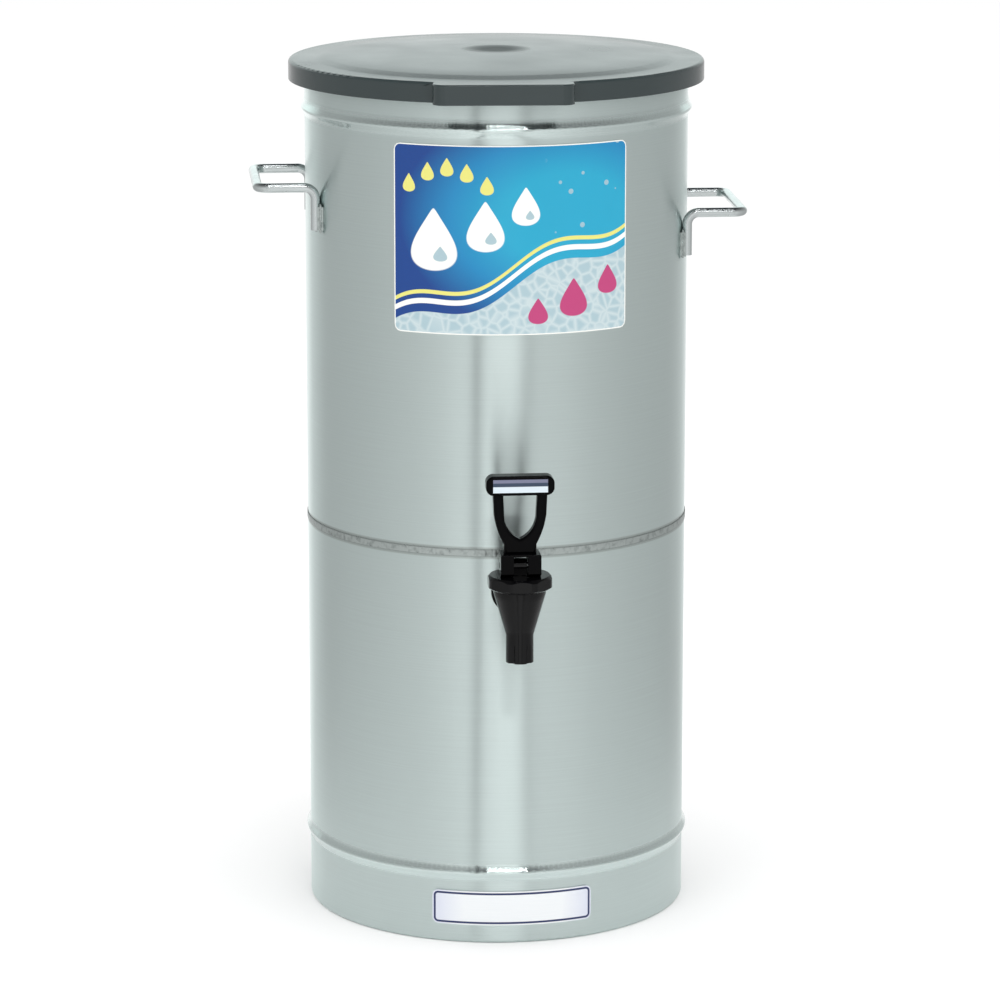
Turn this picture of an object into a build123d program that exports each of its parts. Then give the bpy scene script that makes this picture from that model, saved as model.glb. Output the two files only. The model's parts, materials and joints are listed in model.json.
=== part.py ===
from build123d import *
import math
import os

# A countertop iced tea dispenser: a stainless steel cylinder with a loose plastic
# lid, a welded tank floor, two wire carrying handles and a self-closing tap.
# Lengths are in millimetres. The origin is the centre of the base on the floor,
# +Z is up and the tap is at the front, towards -Y.

# Rolled shells of the body
BODY_R = 127.0
SHEET = 1.0
HEM_WIDTH = 8.0
HEM_RADIUS = 2.2
SEAM_Z = 262.0
SEAM_WIDTH = 5.3
SEAM_PROUD = 0.35
BACK_SEAM_WIDTH = 3.0
BACK_SEAM_PROUD = 0.25

# Beads rolled outwards in the shells: height of the middle, or its drop below the rim,
# then reach below and above, and bulge
BASE_BEAD_Z = 48.5
BASE_BEAD_BELOW = 7.5
BASE_BEAD_ABOVE = 6.5
BASE_BEAD_PROUD = 2.4
UPPER_BEAD_DROP = 28.6
UPPER_BEAD_BELOW = 7.5
UPPER_BEAD_ABOVE = 7.5
UPPER_BEAD_PROUD = 2.8
RIM_CURL_R = 3.0

# Pressed pan that closes the bottom of the tank
PAN_FLANGE = 8.0
PAN_CORNER_R = 10.0
PAN_CROWN = 6.0
WASHER_CLEARANCE = 0.5

# Lid
LID_R = 137.5
LID_Z = 558.8
LID_RIM_HEIGHT = 13.1
LID_WALL = 2.5
LID_EDGE_R = 2.5
LID_SEAT_GAP = 0.3
LID_TURN = -3.0
PANEL_R = 116.0
PANEL_RISE = 2.0
CROWN_RISE = 3.6
DIMPLE_R = 18.0
DIMPLE_DEPTH = 0.8
LOCATOR_GAP = 1.5
LOCATOR_WALL = 2.0
LOCATOR_DEPTH = 9.0
RIB_COUNT = 8
RIB_WIDTH = 1.6
RIB_DEPTH = 3.4
TAB_WIDTH = 90.0
TAB_PROUD = 8.0
TAB_DROP = 1.9
TAB_CORNER_R = 8.0
TAB_EDGE_R = 1.2

# Wire carrying handles, below the upper bead. The right one sits lower than the left one.
WIRE_R = 3.175
HANDLE_STAND = 33.0
HANDLE_SPAN = 88.0
LEG_LENGTH = 28.0
HANDLE_BEND_R = 7.5
LEFT_ARM_DROP = 47.5
RIGHT_ARM_DROP = 67.5
WELD_LEG = 2.2
WELD_START = 1.2
WELD_SHORT = 5.0

# Decal below the upper bead and badge on the base, as widths along the curve of the shell
LABEL_WIDTH = 160.0
LABEL_HEIGHT = 122.4
LABEL_DROP = 9.8
LABEL_CORNER_R = 4.5
LABEL_SHEET = 0.3
BADGE_WIDTH = 108.4
BADGE_HEIGHT = 23.0
BADGE_Z = 12.5
BADGE_CORNER_R = 4.0
BADGE_SHEET = 0.6
ADHESIVE = 0.3

# Tap body
TAP_REACH = 45.0
SPOUT_Z = 204.0
NOZZLE_R = 8.9
NOZZLE_LENGTH = 18.0
NOZZLE_BORE_R = 5.5
FLUTE_LENGTH = 12.0
FLUTE_DEPTH = 1.2
FLUTE_R = 2.6
FLUTE_ANGLE = 39.0
CONE_HEIGHT = 27.5
TAP_RIM_R = 16.85
TAP_RIM_HEIGHT = 2.5
TAP_WALL = 3.0
SEAT_DROP = 19.0
SHANK_R = 9.5
SHANK_BORE_R = 5.5
SHANK_DROP = 11.0
SHANK_INSIDE = 17.0
HOLE_GAP = 0.25
BARREL_R = 10.0
FLANGE_R = 15.0
FLANGE_THICK = 4.0
WASHER_R = 14.5
WASHER_THICK = 3.0
NUT_FLATS = 28.0
NUT_THICK = 8.0

# Tap bonnet, screwed on to the tap body
BONNET_FLATS = 40.3
BONNET_CORNER_R = 21.2
BONNET_HEIGHT = 9.3
BONNET_ROUND = 2.0
BONNET_ROOF = 4.3
SPIGOT_GAP = 0.1
POCKET_R = 8.0

# Valve stem, seat cup and spring
STEM_R = 4.0
STEM_GAP = 0.05
STEM_TIP_R = 3.0
TIP_LENGTH = 3.0
COLLAR_R = 7.5
COLLAR_THICK = 2.0
TONGUE_R = 4.4
TONGUE_GAP = 0.3
SEAT_CUP_R = 7.8
SEAT_CUP_HEIGHT = 5.0
SEAT_BOSS_R = 4.6
SEAT_BOSS_DROP = 0.8
SEAT_GAP = 0.3
SPRING_WIRE_R = 0.6
SPRING_GAP = 0.7
SPRING_TURNS = 4.5
SPRING_END_GAP = 0.1
SEAT_CUP_BEVEL = 1.5

# Tap handle. Its heel is a cam that lifts the stem by CAM_RATE for each radian.
PIN_R = 2.0
PIN_GAP = 0.05
PIN_INSET = 0.5
PIN_RISE = 6.2
CAM_GAP = 0.3
CAM_RATE = 5.0
OPEN_ANGLE = 40.0
CAM_STEPS = 5
HEEL_BACK = 7.0
BLOCK_WIDTH = 26.0
BLOCK_RISE = 8.5
BLOCK_ROUND = 1.0
SLOT_WIDTH = 9.2
SLOT_RISE = 7.3
NECK_WIDTH = 21.0
NECK_THICK = 9.0
LOOP_LOW_RISE = 17.5
LOOP_HEIGHT = 28.7
LOOP_HALF_TOP = 10.8
LOOP_HALF_SIDE = 10.2
LOOP_SIDE_DROP = 12.7
LOOP_HALF_LOW = 7.25
LOOP_LOW_SHARE = 0.38
LEG_THICK = 6.6
LOOP_ROUND = 2.0
BAR_WIDTH = 43.8
BAR_HEIGHT = 12.7
BAR_THICK = 11.0
BAR_END_R = 5.0
BAR_ROUND = 1.5
STRIP_WIDTH = 35.0
STRIP_HEIGHT = 8.5
STRIP_THICK = 0.8
STRIP_PROUD = 0.1

# Places that follow from the sizes above
SEAM_TOP = SEAM_Z + SEAM_WIDTH
LID_TOP = LID_Z + LID_RIM_HEIGHT
LID_CEILING = LID_TOP - LID_WALL
RIM_TOP = LID_CEILING - LID_SEAT_GAP
UPPER_BEAD_Z = RIM_TOP - UPPER_BEAD_DROP
LABEL_Z = UPPER_BEAD_Z - LABEL_DROP - LABEL_HEIGHT
LEFT_ARM_Z = UPPER_BEAD_Z - LEFT_ARM_DROP
RIGHT_ARM_Z = UPPER_BEAD_Z - RIGHT_ARM_DROP
HANDLE_REACH = BODY_R + HANDLE_STAND
CROWN_TOP = LID_TOP + PANEL_RISE + CROWN_RISE
TAP_Y = -(BODY_R + TAP_REACH)
CONE_Z = SPOUT_Z + NOZZLE_LENGTH
TAP_RIM_Z = CONE_Z + CONE_HEIGHT + TAP_RIM_HEIGHT
SHANK_Z = TAP_RIM_Z - SHANK_DROP
SEAT_Z = TAP_RIM_Z - SEAT_DROP
BONNET_TOP = TAP_RIM_Z + BONNET_HEIGHT
POCKET_TOP = BONNET_TOP - BONNET_ROOF
PAN_FLOOR = SHANK_Z - WASHER_R - WASHER_CLEARANCE - PAN_CORNER_R
CUP_LOW = SEAT_Z + SEAT_GAP
COLLAR_LOW = CUP_LOW + SEAT_CUP_HEIGHT
COLLAR_TOP = COLLAR_LOW + COLLAR_THICK
PIN_Z = BONNET_TOP + PIN_RISE
HEEL_DEPTH = PIN_RISE - CAM_GAP
BLOCK_TOP = PIN_Z + BLOCK_RISE
LOOP_LOW = PIN_Z + LOOP_LOW_RISE
BAR_LOW = LOOP_LOW + LOOP_HEIGHT
WALL_INSIDE = BODY_R - 2 * SHEET
FLANGE_FACE = BODY_R + WASHER_THICK
NUT_FACE = WALL_INSIDE - WASHER_THICK
CUT = 60.0


def revolved(*edges):
    """Solid of revolution about Z from an outline of (radius, height) edges."""
    outline = make_face(Wire(edges))
    return revolve(Plane.XZ * outline, Axis.Z)


def turned(*points):
    """Solid of revolution about Z from straight-sided (radius, height) corners."""
    return revolved(*Polyline(*points, close=True).edges())


def rod(radius, low, high):
    """Upright round bar between two heights."""
    return Pos(0, 0, low) * Cylinder(radius, high - low, align=(Align.CENTER, Align.CENTER, Align.MIN))


def rod_along_y(radius, start, end, height):
    """Round bar along Y between two places, at a height."""
    bar = Cylinder(radius, end - start, align=(Align.CENTER, Align.CENTER, Align.MIN))
    return Pos(0, start, height) * Rot(-90, 0, 0) * bar


def slab(x_size, y_low, y_high, z_low, z_high):
    """Box centred on X between two places in Y and in Z."""
    box = Box(x_size, y_high - y_low, z_high - z_low, align=(Align.CENTER, Align.MIN, Align.MIN))
    return Pos(0, y_low, z_low) * box


def crown(edge_r, edge_z, rise):
    """Arc of a shallow dome, from its edge to its top on the axis."""
    dome_r = (edge_r**2 + rise**2) / (2 * rise)
    half = math.degrees(math.asin(edge_r / dome_r))
    return CenterArc((0, edge_z + rise - dome_r), dome_r, 90 - half, half)


def bead(radius, middle, below, above, proud):
    """One side of a rolled bead as a smooth curve that leaves and rejoins the wall upright."""
    low = (radius, middle - below)
    peak = (radius + proud, middle)
    high = (radius, middle + above)
    return Spline(low, peak, high, tangents=[(0, 1), (0, 1)])


def shank_passage():
    """Hole for the tap's shank through everything at the front of the body."""
    return rod_along_y(SHANK_R + HOLE_GAP, -(BODY_R + CUT), -(BODY_R - CUT), SHANK_Z)


def tank_shell():
    """Upper shell: straight wall, upper bead and a rim curled outwards over three quarters of a turn."""
    inner = BODY_R - SHEET
    middle = (inner + RIM_CURL_R, RIM_TOP - RIM_CURL_R)
    outer_bead = bead(BODY_R, UPPER_BEAD_Z, UPPER_BEAD_BELOW, UPPER_BEAD_ABOVE, UPPER_BEAD_PROUD)
    inner_bead = bead(inner, UPPER_BEAD_Z, UPPER_BEAD_BELOW, UPPER_BEAD_ABOVE, UPPER_BEAD_PROUD)
    curl_inside = CenterArc(middle, RIM_CURL_R - SHEET, 180, -270)
    curl_outside = CenterArc(middle, RIM_CURL_R, -90, 270)
    shell = revolved(
        Line((BODY_R, SEAM_TOP), outer_bead @ 0),
        outer_bead,
        Line(outer_bead @ 1, (BODY_R, middle[1])),
        curl_inside,
        Line(curl_inside @ 1, curl_outside @ 0),
        curl_outside,
        Line((inner, middle[1]), inner_bead @ 1),
        inner_bead,
        Line(inner_bead @ 0, (inner, SEAM_TOP)),
        Line((inner, SEAM_TOP), (BODY_R, SEAM_TOP)),
    )
    return shell - shank_passage()


def skirt_shell():
    """Lower shell: straight wall and base bead over a hem turned inwards, which is what it stands on."""
    inner = BODY_R - SHEET
    hem_edge = BODY_R - HEM_WIDTH
    corner = (BODY_R - HEM_RADIUS, HEM_RADIUS)
    outer_bead = bead(BODY_R, BASE_BEAD_Z, BASE_BEAD_BELOW, BASE_BEAD_ABOVE, BASE_BEAD_PROUD)
    inner_bead = bead(inner, BASE_BEAD_Z, BASE_BEAD_BELOW, BASE_BEAD_ABOVE, BASE_BEAD_PROUD)
    shell = revolved(
        Line((hem_edge, 0), (corner[0], 0)),
        CenterArc(corner, HEM_RADIUS, -90, 90),
        Line((BODY_R, corner[1]), outer_bead @ 0),
        outer_bead,
        Line(outer_bead @ 1, (BODY_R, SEAM_Z)),
        Line((BODY_R, SEAM_Z), (inner, SEAM_Z)),
        Line((inner, SEAM_Z), inner_bead @ 1),
        inner_bead,
        Line(inner_bead @ 0, (inner, corner[1])),
        CenterArc(corner, HEM_RADIUS - SHEET, 0, -90),
        Line((corner[0], SHEET), (hem_edge, SHEET)),
        Line((hem_edge, SHEET), (hem_edge, 0)),
    )
    return shell - shank_passage()


def dish(radius, floor, corner, top):
    """Filled dish: upright side, rounded corner and a floor that is crowned upwards."""
    foot = radius - corner
    return revolved(
        Line((0, top), (radius, top)),
        Line((radius, top), (radius, floor + corner)),
        CenterArc((foot, floor + corner), corner, 0, -90),
        crown(foot, floor, PAN_CROWN),
        Line((0, floor + PAN_CROWN), (0, top)),
    )


def tank_bottom():
    """Deep pan whose upturned side lines the seam and hangs the tank's floor below the tap."""
    outer = BODY_R - SHEET
    top = SEAM_TOP + PAN_FLANGE
    pan = dish(outer, PAN_FLOOR, PAN_CORNER_R, top)
    hollow = dish(outer - SHEET, PAN_FLOOR + SHEET, PAN_CORNER_R - SHEET, top + SHEET)
    return pan - hollow - shank_passage()


def seam_weld():
    """Weld round the body that joins the upper shell, the lower shell and the pan behind them."""
    inner = BODY_R - SHEET
    ring = revolved(
        Line((inner, SEAM_Z), (BODY_R, SEAM_Z)),
        ThreePointArc((BODY_R, SEAM_Z), (BODY_R + SEAM_PROUD, SEAM_Z + SEAM_WIDTH / 2), (BODY_R, SEAM_TOP)),
        Line((BODY_R, SEAM_TOP), (inner, SEAM_TOP)),
        Line((inner, SEAM_TOP), (inner, SEAM_Z)),
    )
    return ring - shank_passage()


def back_seam_weld():
    """Upright welds at the back, where each rolled shell meets itself."""
    skin = rod(BODY_R + BACK_SEAM_PROUD, 0, RIM_TOP) - rod(BODY_R, 0, RIM_TOP)
    lower = slab(BACK_SEAM_WIDTH, 0, BODY_R + CUT, BASE_BEAD_Z + BASE_BEAD_ABOVE, SEAM_Z)
    upper = slab(BACK_SEAM_WIDTH, 0, BODY_R + CUT, SEAM_TOP, UPPER_BEAD_Z - UPPER_BEAD_BELOW)
    return Compound([skin & lower, skin & upper])


def leg_x():
    """How far from the middle a handle's leg stands, so that it lies along the shell."""
    return math.sqrt((BODY_R + WIRE_R) ** 2 - (HANDLE_SPAN / 2) ** 2)


def carrying_handle(side, arm_z):
    """Bent wire handle: a leg down the shell, out, across, back in and down again."""
    near = side * leg_x()
    far = side * HANDLE_REACH
    half = HANDLE_SPAN / 2
    foot_z = arm_z - LEG_LENGTH
    path = FilletPolyline(
        (near, -half, foot_z),
        (near, -half, arm_z),
        (far, -half, arm_z),
        (far, half, arm_z),
        (near, half, arm_z),
        (near, half, foot_z),
        radius=HANDLE_BEND_R,
    )
    section = Plane(origin=path @ 0, z_dir=path % 0) * Circle(WIRE_R)
    return sweep(section, path=path)


def leg_welds(side, arm_z):
    """Fillet welds along both sides of a handle's two legs, against the shell."""
    low = arm_z - LEG_LENGTH
    high = arm_z - HANDLE_BEND_R - WELD_SHORT
    leg = Pos(BODY_R + WIRE_R, 0, 0) * rod(WIRE_R, low - SHEET, high + SHEET)
    top = BODY_R + WIRE_R
    foot = WIRE_R + WELD_LEG
    outline = Polyline((BODY_R - SHEET, WELD_START), (BODY_R - SHEET, foot), (BODY_R, foot),
                       (top, WIRE_R), (top, WELD_START), close=True)
    bead_block = Pos(0, 0, low) * extrude(make_face(outline), high - low)
    one = bead_block - leg - rod(BODY_R, low - SHEET, high + SHEET)
    pair = [one, mirror(one, Plane.XZ)]
    turn = math.degrees(math.atan2(HANDLE_SPAN / 2, leg_x()))
    facing = 0 if side > 0 else 180
    angles = [facing - turn, facing + turn]
    return Compound([Rot(0, 0, angle) * weld for angle in angles for weld in pair])


def wrapped_sheet(width, height, low, corner, thick):
    """Thin plate with rounded corners, bent round the front of the shell and glued to it."""
    chord = 2 * BODY_R * math.sin(width / BODY_R / 2)
    inside = BODY_R + ADHESIVE
    skin = rod(inside + thick, low, low + height) - rod(inside, low, low + height)
    window = Plane.XZ * Pos(0, low + height / 2) * RectangleRounded(chord, height, corner)
    return skin & extrude(window, BODY_R + CUT)


def lid_form():
    """Outside of the lid without its tab: rim, flat border, low step and crowned middle panel."""
    edge = (LID_R - LID_EDGE_R, LID_TOP - LID_EDGE_R)
    step_r = PANEL_R - PANEL_RISE
    panel_z = LID_TOP + PANEL_RISE
    return revolved(
        Line((0, LID_Z), (LID_R, LID_Z)),
        Line((LID_R, LID_Z), (LID_R, edge[1])),
        CenterArc(edge, LID_EDGE_R, 0, 90),
        Line((edge[0], LID_TOP), (PANEL_R, LID_TOP)),
        Line((PANEL_R, LID_TOP), (step_r, panel_z)),
        crown(step_r, panel_z, CROWN_RISE),
        Line((0, CROWN_TOP), (0, LID_Z)),
    )


def lid_hollow():
    """Inside of the lid, one wall below its outside."""
    step_r = PANEL_R - LID_WALL
    panel_z = LID_CEILING + PANEL_RISE
    return revolved(
        Line((0, LID_Z - CUT), (LID_R - LID_WALL, LID_Z - CUT)),
        Line((LID_R - LID_WALL, LID_Z - CUT), (LID_R - LID_WALL, LID_CEILING)),
        Line((LID_R - LID_WALL, LID_CEILING), (step_r, LID_CEILING)),
        Line((step_r, LID_CEILING), (step_r, panel_z)),
        crown(step_r, panel_z, CROWN_RISE),
        Line((0, CROWN_TOP - LID_WALL), (0, LID_Z - CUT)),
    )


def lid_locator():
    """Ring under the lid that keeps it over the tank's mouth, with radial stiffening ribs inside it."""
    ring_r = BODY_R - SHEET - LOCATOR_GAP
    ring_inside = ring_r - LOCATOR_WALL
    rib_low = LID_CEILING - RIB_DEPTH
    ring = rod(ring_r, LID_CEILING - LOCATOR_DEPTH, LID_TOP) - rod(ring_inside, LID_Z - CUT, LID_TOP)
    hub = rod(DIMPLE_R + RIB_WIDTH, rib_low, CROWN_TOP) - rod(DIMPLE_R, rib_low, CROWN_TOP)
    rib = slab(RIB_WIDTH, DIMPLE_R, ring_inside + LOCATOR_WALL / 2, rib_low, CROWN_TOP)
    ribs = [Rot(0, 0, 360 / RIB_COUNT * (i + 0.5)) * rib for i in range(RIB_COUNT)]
    return ring + hub + ribs


def lid_tab():
    """Finger tab at the front of the lid's rim, hollow from below."""
    top = LID_TOP - TAB_DROP
    front = -(LID_R + TAB_PROUD)
    block = slab(TAB_WIDTH, front, -(LID_R - TAB_WIDTH / 2), LID_Z, top)
    block = fillet(block.edges().filter_by(Axis.Z).group_by(Axis.Y)[0], TAB_CORNER_R)
    block = fillet(block.faces().sort_by(Axis.Z)[-1].edges().sort_by(Axis.Y)[:5], TAB_EDGE_R)
    hollow = slab(TAB_WIDTH - 2 * LID_WALL, front + LID_WALL, 0, LID_Z - CUT, top - LID_WALL)
    hollow = fillet(hollow.edges().filter_by(Axis.Z).group_by(Axis.Y)[0], TAB_CORNER_R - LID_WALL)
    return block - hollow - rod(LID_R - LID_WALL / 2, LID_Z - CUT, LID_TOP)


def lid():
    """Loose lid, turned a little from straight as it lies on the tank."""
    form = lid_form()
    cover = form - lid_hollow() + (lid_locator() & form) + lid_tab()
    dimple = rod(DIMPLE_R, CROWN_TOP - DIMPLE_DEPTH, CROWN_TOP + CUT)
    return Rot(0, 0, LID_TURN) * (cover - dimple)


def at_tap(shape):
    """Shape made about the tap's own upright axis, moved to the tap's place."""
    return Pos(0, TAP_Y, 0) * shape


def nozzle_flutes():
    """Upright grooves round the lower end of the nozzle, two towards the front and two towards the back."""
    reach = NOZZLE_R + FLUTE_R - FLUTE_DEPTH
    groove = Pos(0, -reach, 0) * rod(FLUTE_R, SPOUT_Z - CUT, SPOUT_Z + FLUTE_LENGTH)
    angles = [FLUTE_ANGLE, 180 - FLUTE_ANGLE, 180 + FLUTE_ANGLE, -FLUTE_ANGLE]
    return [Rot(0, 0, angle) * groove for angle in angles]


def tap_body():
    """Tap body: fluted nozzle, cone, valve chamber, and the shank that goes through the tank's wall."""
    shape = turned(
        (0, SPOUT_Z),
        (NOZZLE_R, SPOUT_Z),
        (NOZZLE_R, CONE_Z),
        (TAP_RIM_R, CONE_Z + CONE_HEIGHT),
        (TAP_RIM_R, TAP_RIM_Z),
        (0, TAP_RIM_Z),
    )
    flange_y = TAP_REACH - WASHER_THICK
    shank_end = TAP_REACH + SHANK_INSIDE
    shape += rod_along_y(BARREL_R, 0, flange_y, SHANK_Z)
    shape += rod_along_y(FLANGE_R, flange_y - FLANGE_THICK, flange_y, SHANK_Z)
    shape += rod_along_y(SHANK_R, flange_y - FLANGE_THICK, shank_end, SHANK_Z)
    slope = (TAP_RIM_R - NOZZLE_R) / CONE_HEIGHT
    seat_r = NOZZLE_R + slope * (SEAT_Z - CONE_Z) - TAP_WALL
    mouth_r = TAP_RIM_R - TAP_WALL
    chamber = turned(
        (0, SEAT_Z),
        (seat_r, SEAT_Z),
        (mouth_r, CONE_Z + CONE_HEIGHT),
        (mouth_r, TAP_RIM_Z + CUT),
        (0, TAP_RIM_Z + CUT),
    )
    shape -= chamber
    shape -= rod(NOZZLE_BORE_R, SPOUT_Z - CUT, SEAT_Z + SHEET)
    shape -= rod_along_y(SHANK_BORE_R, 0, shank_end + CUT, SHANK_Z)
    for groove in nozzle_flutes():
        shape -= groove
    return at_tap(shape)


def tap_bonnet():
    """Eight-sided cap that holds the spring down and guides the stem."""
    octagon = Rot(0, 0, 22.5) * RegularPolygon(BONNET_FLATS / 2, 8, major_radius=False)
    cap = Pos(0, 0, TAP_RIM_Z) * extrude(octagon, BONNET_HEIGHT)
    rounding = turned(
        (0, TAP_RIM_Z),
        (BONNET_CORNER_R - 1.5 * BONNET_ROUND, TAP_RIM_Z),
        (BONNET_CORNER_R, TAP_RIM_Z + BONNET_ROUND),
        (BONNET_CORNER_R, BONNET_TOP - BONNET_ROUND),
        (BONNET_CORNER_R - BONNET_ROUND, BONNET_TOP),
        (0, BONNET_TOP),
    )
    spigot = rod(TAP_RIM_R - TAP_WALL - SPIGOT_GAP, TAP_RIM_Z - TAP_RIM_HEIGHT, TAP_RIM_Z)
    shape = (cap & rounding) + spigot
    shape -= rod(POCKET_R, TAP_RIM_Z - CUT, POCKET_TOP)
    shape -= rod(STEM_R + STEM_GAP, TAP_RIM_Z, BONNET_TOP + CUT)
    return at_tap(shape)


def valve_stem():
    """Stem with a flat tongue for the handle's pin, a spring collar and a tip for the seat cup."""
    shape = rod(STEM_TIP_R, COLLAR_LOW - TIP_LENGTH, COLLAR_LOW + SHEET)
    shape += rod(COLLAR_R, COLLAR_LOW, COLLAR_TOP)
    shape += rod(STEM_R, COLLAR_LOW, BONNET_TOP + CAM_GAP)
    side = Pos(0, PIN_Z) * Circle(TONGUE_R)
    side += Pos(0, BONNET_TOP + CAM_GAP) * Rectangle(
        2 * STEM_R, PIN_RISE - CAM_GAP, align=(Align.CENTER, Align.MIN))
    tongue_width = SLOT_WIDTH - 2 * TONGUE_GAP
    shape += extrude(Plane.YZ * side, tongue_width / 2, both=True)
    shape -= pin_rod(PIN_R + PIN_GAP, BLOCK_WIDTH)
    return at_tap(shape)


def pin_rod(radius, length):
    """Bar along X through the handle's pivot."""
    return Pos(0, 0, PIN_Z) * Rot(0, 90, 0) * Cylinder(radius, length)


def seat_cup():
    """Soft cup on the stem's tip that closes the way down to the nozzle."""
    cup = turned(
        (0, CUP_LOW - SEAT_BOSS_DROP),
        (SEAT_BOSS_R - SEAT_BOSS_DROP, CUP_LOW - SEAT_BOSS_DROP),
        (SEAT_BOSS_R, CUP_LOW),
        (SEAT_CUP_R, CUP_LOW),
        (SEAT_CUP_R, COLLAR_LOW - SEAT_CUP_BEVEL),
        (COLLAR_R, COLLAR_LOW),
        (0, COLLAR_LOW),
    )
    return at_tap(cup - rod(STEM_TIP_R, COLLAR_LOW - TIP_LENGTH, COLLAR_LOW + SHEET))


def valve_spring():
    """Coil spring between the stem's collar and the roof of the bonnet's pocket."""
    low = COLLAR_TOP + SPRING_WIRE_R + SPRING_END_GAP
    high = POCKET_TOP - SPRING_WIRE_R - SPRING_END_GAP
    turn_r = STEM_R + SPRING_GAP + SPRING_WIRE_R
    path = Helix(pitch=(high - low) / SPRING_TURNS, height=high - low, radius=turn_r)
    section = Plane(origin=path @ 0, z_dir=path % 0) * Circle(SPRING_WIRE_R)
    coil = sweep(section, path=path, is_frenet=True)
    return at_tap(Pos(0, 0, low) * coil)


def cam_outline():
    """Side view of the handle's block: flat heel at rest, then a cam towards the front, about the pin."""
    points = []
    for i in range(CAM_STEPS):
        angle = math.radians(OPEN_ANGLE) * i / (CAM_STEPS - 1)
        depth = HEEL_DEPTH + CAM_RATE * angle
        forward = depth * math.sin(angle) + CAM_RATE * math.cos(angle)
        down = depth * math.cos(angle) - CAM_RATE * math.sin(angle)
        points.append((-forward, -down))
    last = math.radians(OPEN_ANGLE)
    cam = Spline(*points, tangents=[(-1, 0), (-math.cos(last), math.sin(last))])
    front = points[-1][0]
    outline = [
        Line((HEEL_BACK, -HEEL_DEPTH), points[0]),
        cam,
        Line(points[-1], (front, BLOCK_RISE)),
        Line((front, BLOCK_RISE), (HEEL_BACK, BLOCK_RISE)),
        Line((HEEL_BACK, BLOCK_RISE), (HEEL_BACK, -HEEL_DEPTH)),
    ]
    return make_face(Wire(outline))


def mirrored_outline(*half):
    """Closed face from the right half of an outline and its mirror image."""
    right = Curve() + list(half)
    return make_face((right + mirror(right, Plane.YZ)).edges())


def loop_opening():
    """Finger opening of the handle seen from the front: straight top, sides that close to a low point."""
    side_z = BAR_LOW - LOOP_SIDE_DROP
    low_z = LOOP_LOW + LOOP_LOW_SHARE * (side_z - LOOP_LOW)
    return mirrored_outline(
        Line((0, BAR_LOW), (LOOP_HALF_TOP, BAR_LOW)),
        Line((LOOP_HALF_TOP, BAR_LOW), (LOOP_HALF_SIDE, side_z)),
        ThreePointArc((LOOP_HALF_SIDE, side_z), (LOOP_HALF_LOW, low_z), (0, LOOP_LOW)),
    )


def loop_outside():
    """Outside of the handle's loop and neck seen from the front, up into the middle of the bar."""
    side_z = BAR_LOW - LOOP_SIDE_DROP
    neck = NECK_WIDTH / 2
    low_side = LOOP_HALF_LOW + LEG_THICK
    side = LOOP_HALF_SIDE + LEG_THICK
    top_side = LOOP_HALF_TOP + LEG_THICK
    shoulder_z = LOOP_LOW - LEG_THICK / 2
    low_z = shoulder_z + LOOP_LOW_SHARE * (side_z - shoulder_z)
    bar_middle = BAR_LOW + BAR_HEIGHT / 2
    return mirrored_outline(
        Line((0, BLOCK_TOP - BLOCK_ROUND), (neck, BLOCK_TOP - BLOCK_ROUND)),
        Line((neck, BLOCK_TOP - BLOCK_ROUND), (neck, shoulder_z)),
        ThreePointArc((neck, shoulder_z), (low_side, low_z), (side, side_z)),
        Line((side, side_z), (top_side, BAR_LOW)),
        Line((top_side, BAR_LOW), (top_side, bar_middle)),
        Line((top_side, bar_middle), (0, bar_middle)),
    )


def plate(face, thick, rounding):
    """Upright plate from a front view, with its front and back edges rounded."""
    shape = extrude(Plane.XZ * face, thick / 2, both=True)
    faces = shape.faces().sort_by(Axis.Y)
    return fillet(faces[0].edges() + faces[-1].edges(), rounding)


def strip_recess():
    """Shallow recess in the front of the handle's bar, for the name strip."""
    face = Pos(0, BAR_LOW + BAR_HEIGHT / 2) * Rectangle(STRIP_WIDTH, STRIP_HEIGHT)
    front = Plane.XZ.offset(BAR_THICK / 2 - STRIP_THICK)
    return front * face


def tap_handle():
    """Tap lever: cheeks with cam heels either side of the stem, neck, finger loop and top bar."""
    block = extrude(Plane.YZ * Pos(0, PIN_Z) * cam_outline(), BLOCK_WIDTH / 2, both=True)
    block = fillet(block.faces().sort_by(Axis.Z)[-1].edges(), BLOCK_ROUND)
    loop = plate(loop_outside() - loop_opening(), NECK_THICK, LOOP_ROUND)
    bar_face = RectangleRounded(BAR_WIDTH, BAR_HEIGHT, BAR_END_R)
    bar = plate(Pos(0, BAR_LOW + BAR_HEIGHT / 2) * bar_face, BAR_THICK, BAR_ROUND)
    shape = block + loop + bar
    shape -= slab(SLOT_WIDTH, -CUT, CUT, BONNET_TOP - CUT, PIN_Z + SLOT_RISE)
    shape -= pin_rod(PIN_R, BLOCK_WIDTH + CUT)
    shape -= extrude(strip_recess(), CUT)
    return at_tap(shape)


def handle_pin():
    """Pin through the handle's cheeks and the stem's tongue."""
    return at_tap(pin_rod(PIN_R, BLOCK_WIDTH - 2 * PIN_INSET))


def name_strip():
    """Bare name strip in the recess of the handle's bar."""
    return at_tap(extrude(strip_recess(), STRIP_THICK + STRIP_PROUD))


def outer_washer():
    """Rubber washer between the tap's flange and the round shell."""
    disc = rod_along_y(WASHER_R, -FLANGE_FACE, -(BODY_R - SHEET - WASHER_R / 2), SHANK_Z)
    return disc - rod(BODY_R, 0, RIM_TOP) - rod_along_y(SHANK_R, -BODY_R - CUT, 0, SHANK_Z)


def inner_washer():
    """Rubber washer between the pan's round inside and the nut."""
    disc = rod_along_y(WASHER_R, -(BODY_R + CUT), -NUT_FACE, SHANK_Z)
    return (disc & rod(WALL_INSIDE, 0, RIM_TOP)) - rod_along_y(SHANK_R, -BODY_R - CUT, 0, SHANK_Z)


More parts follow.
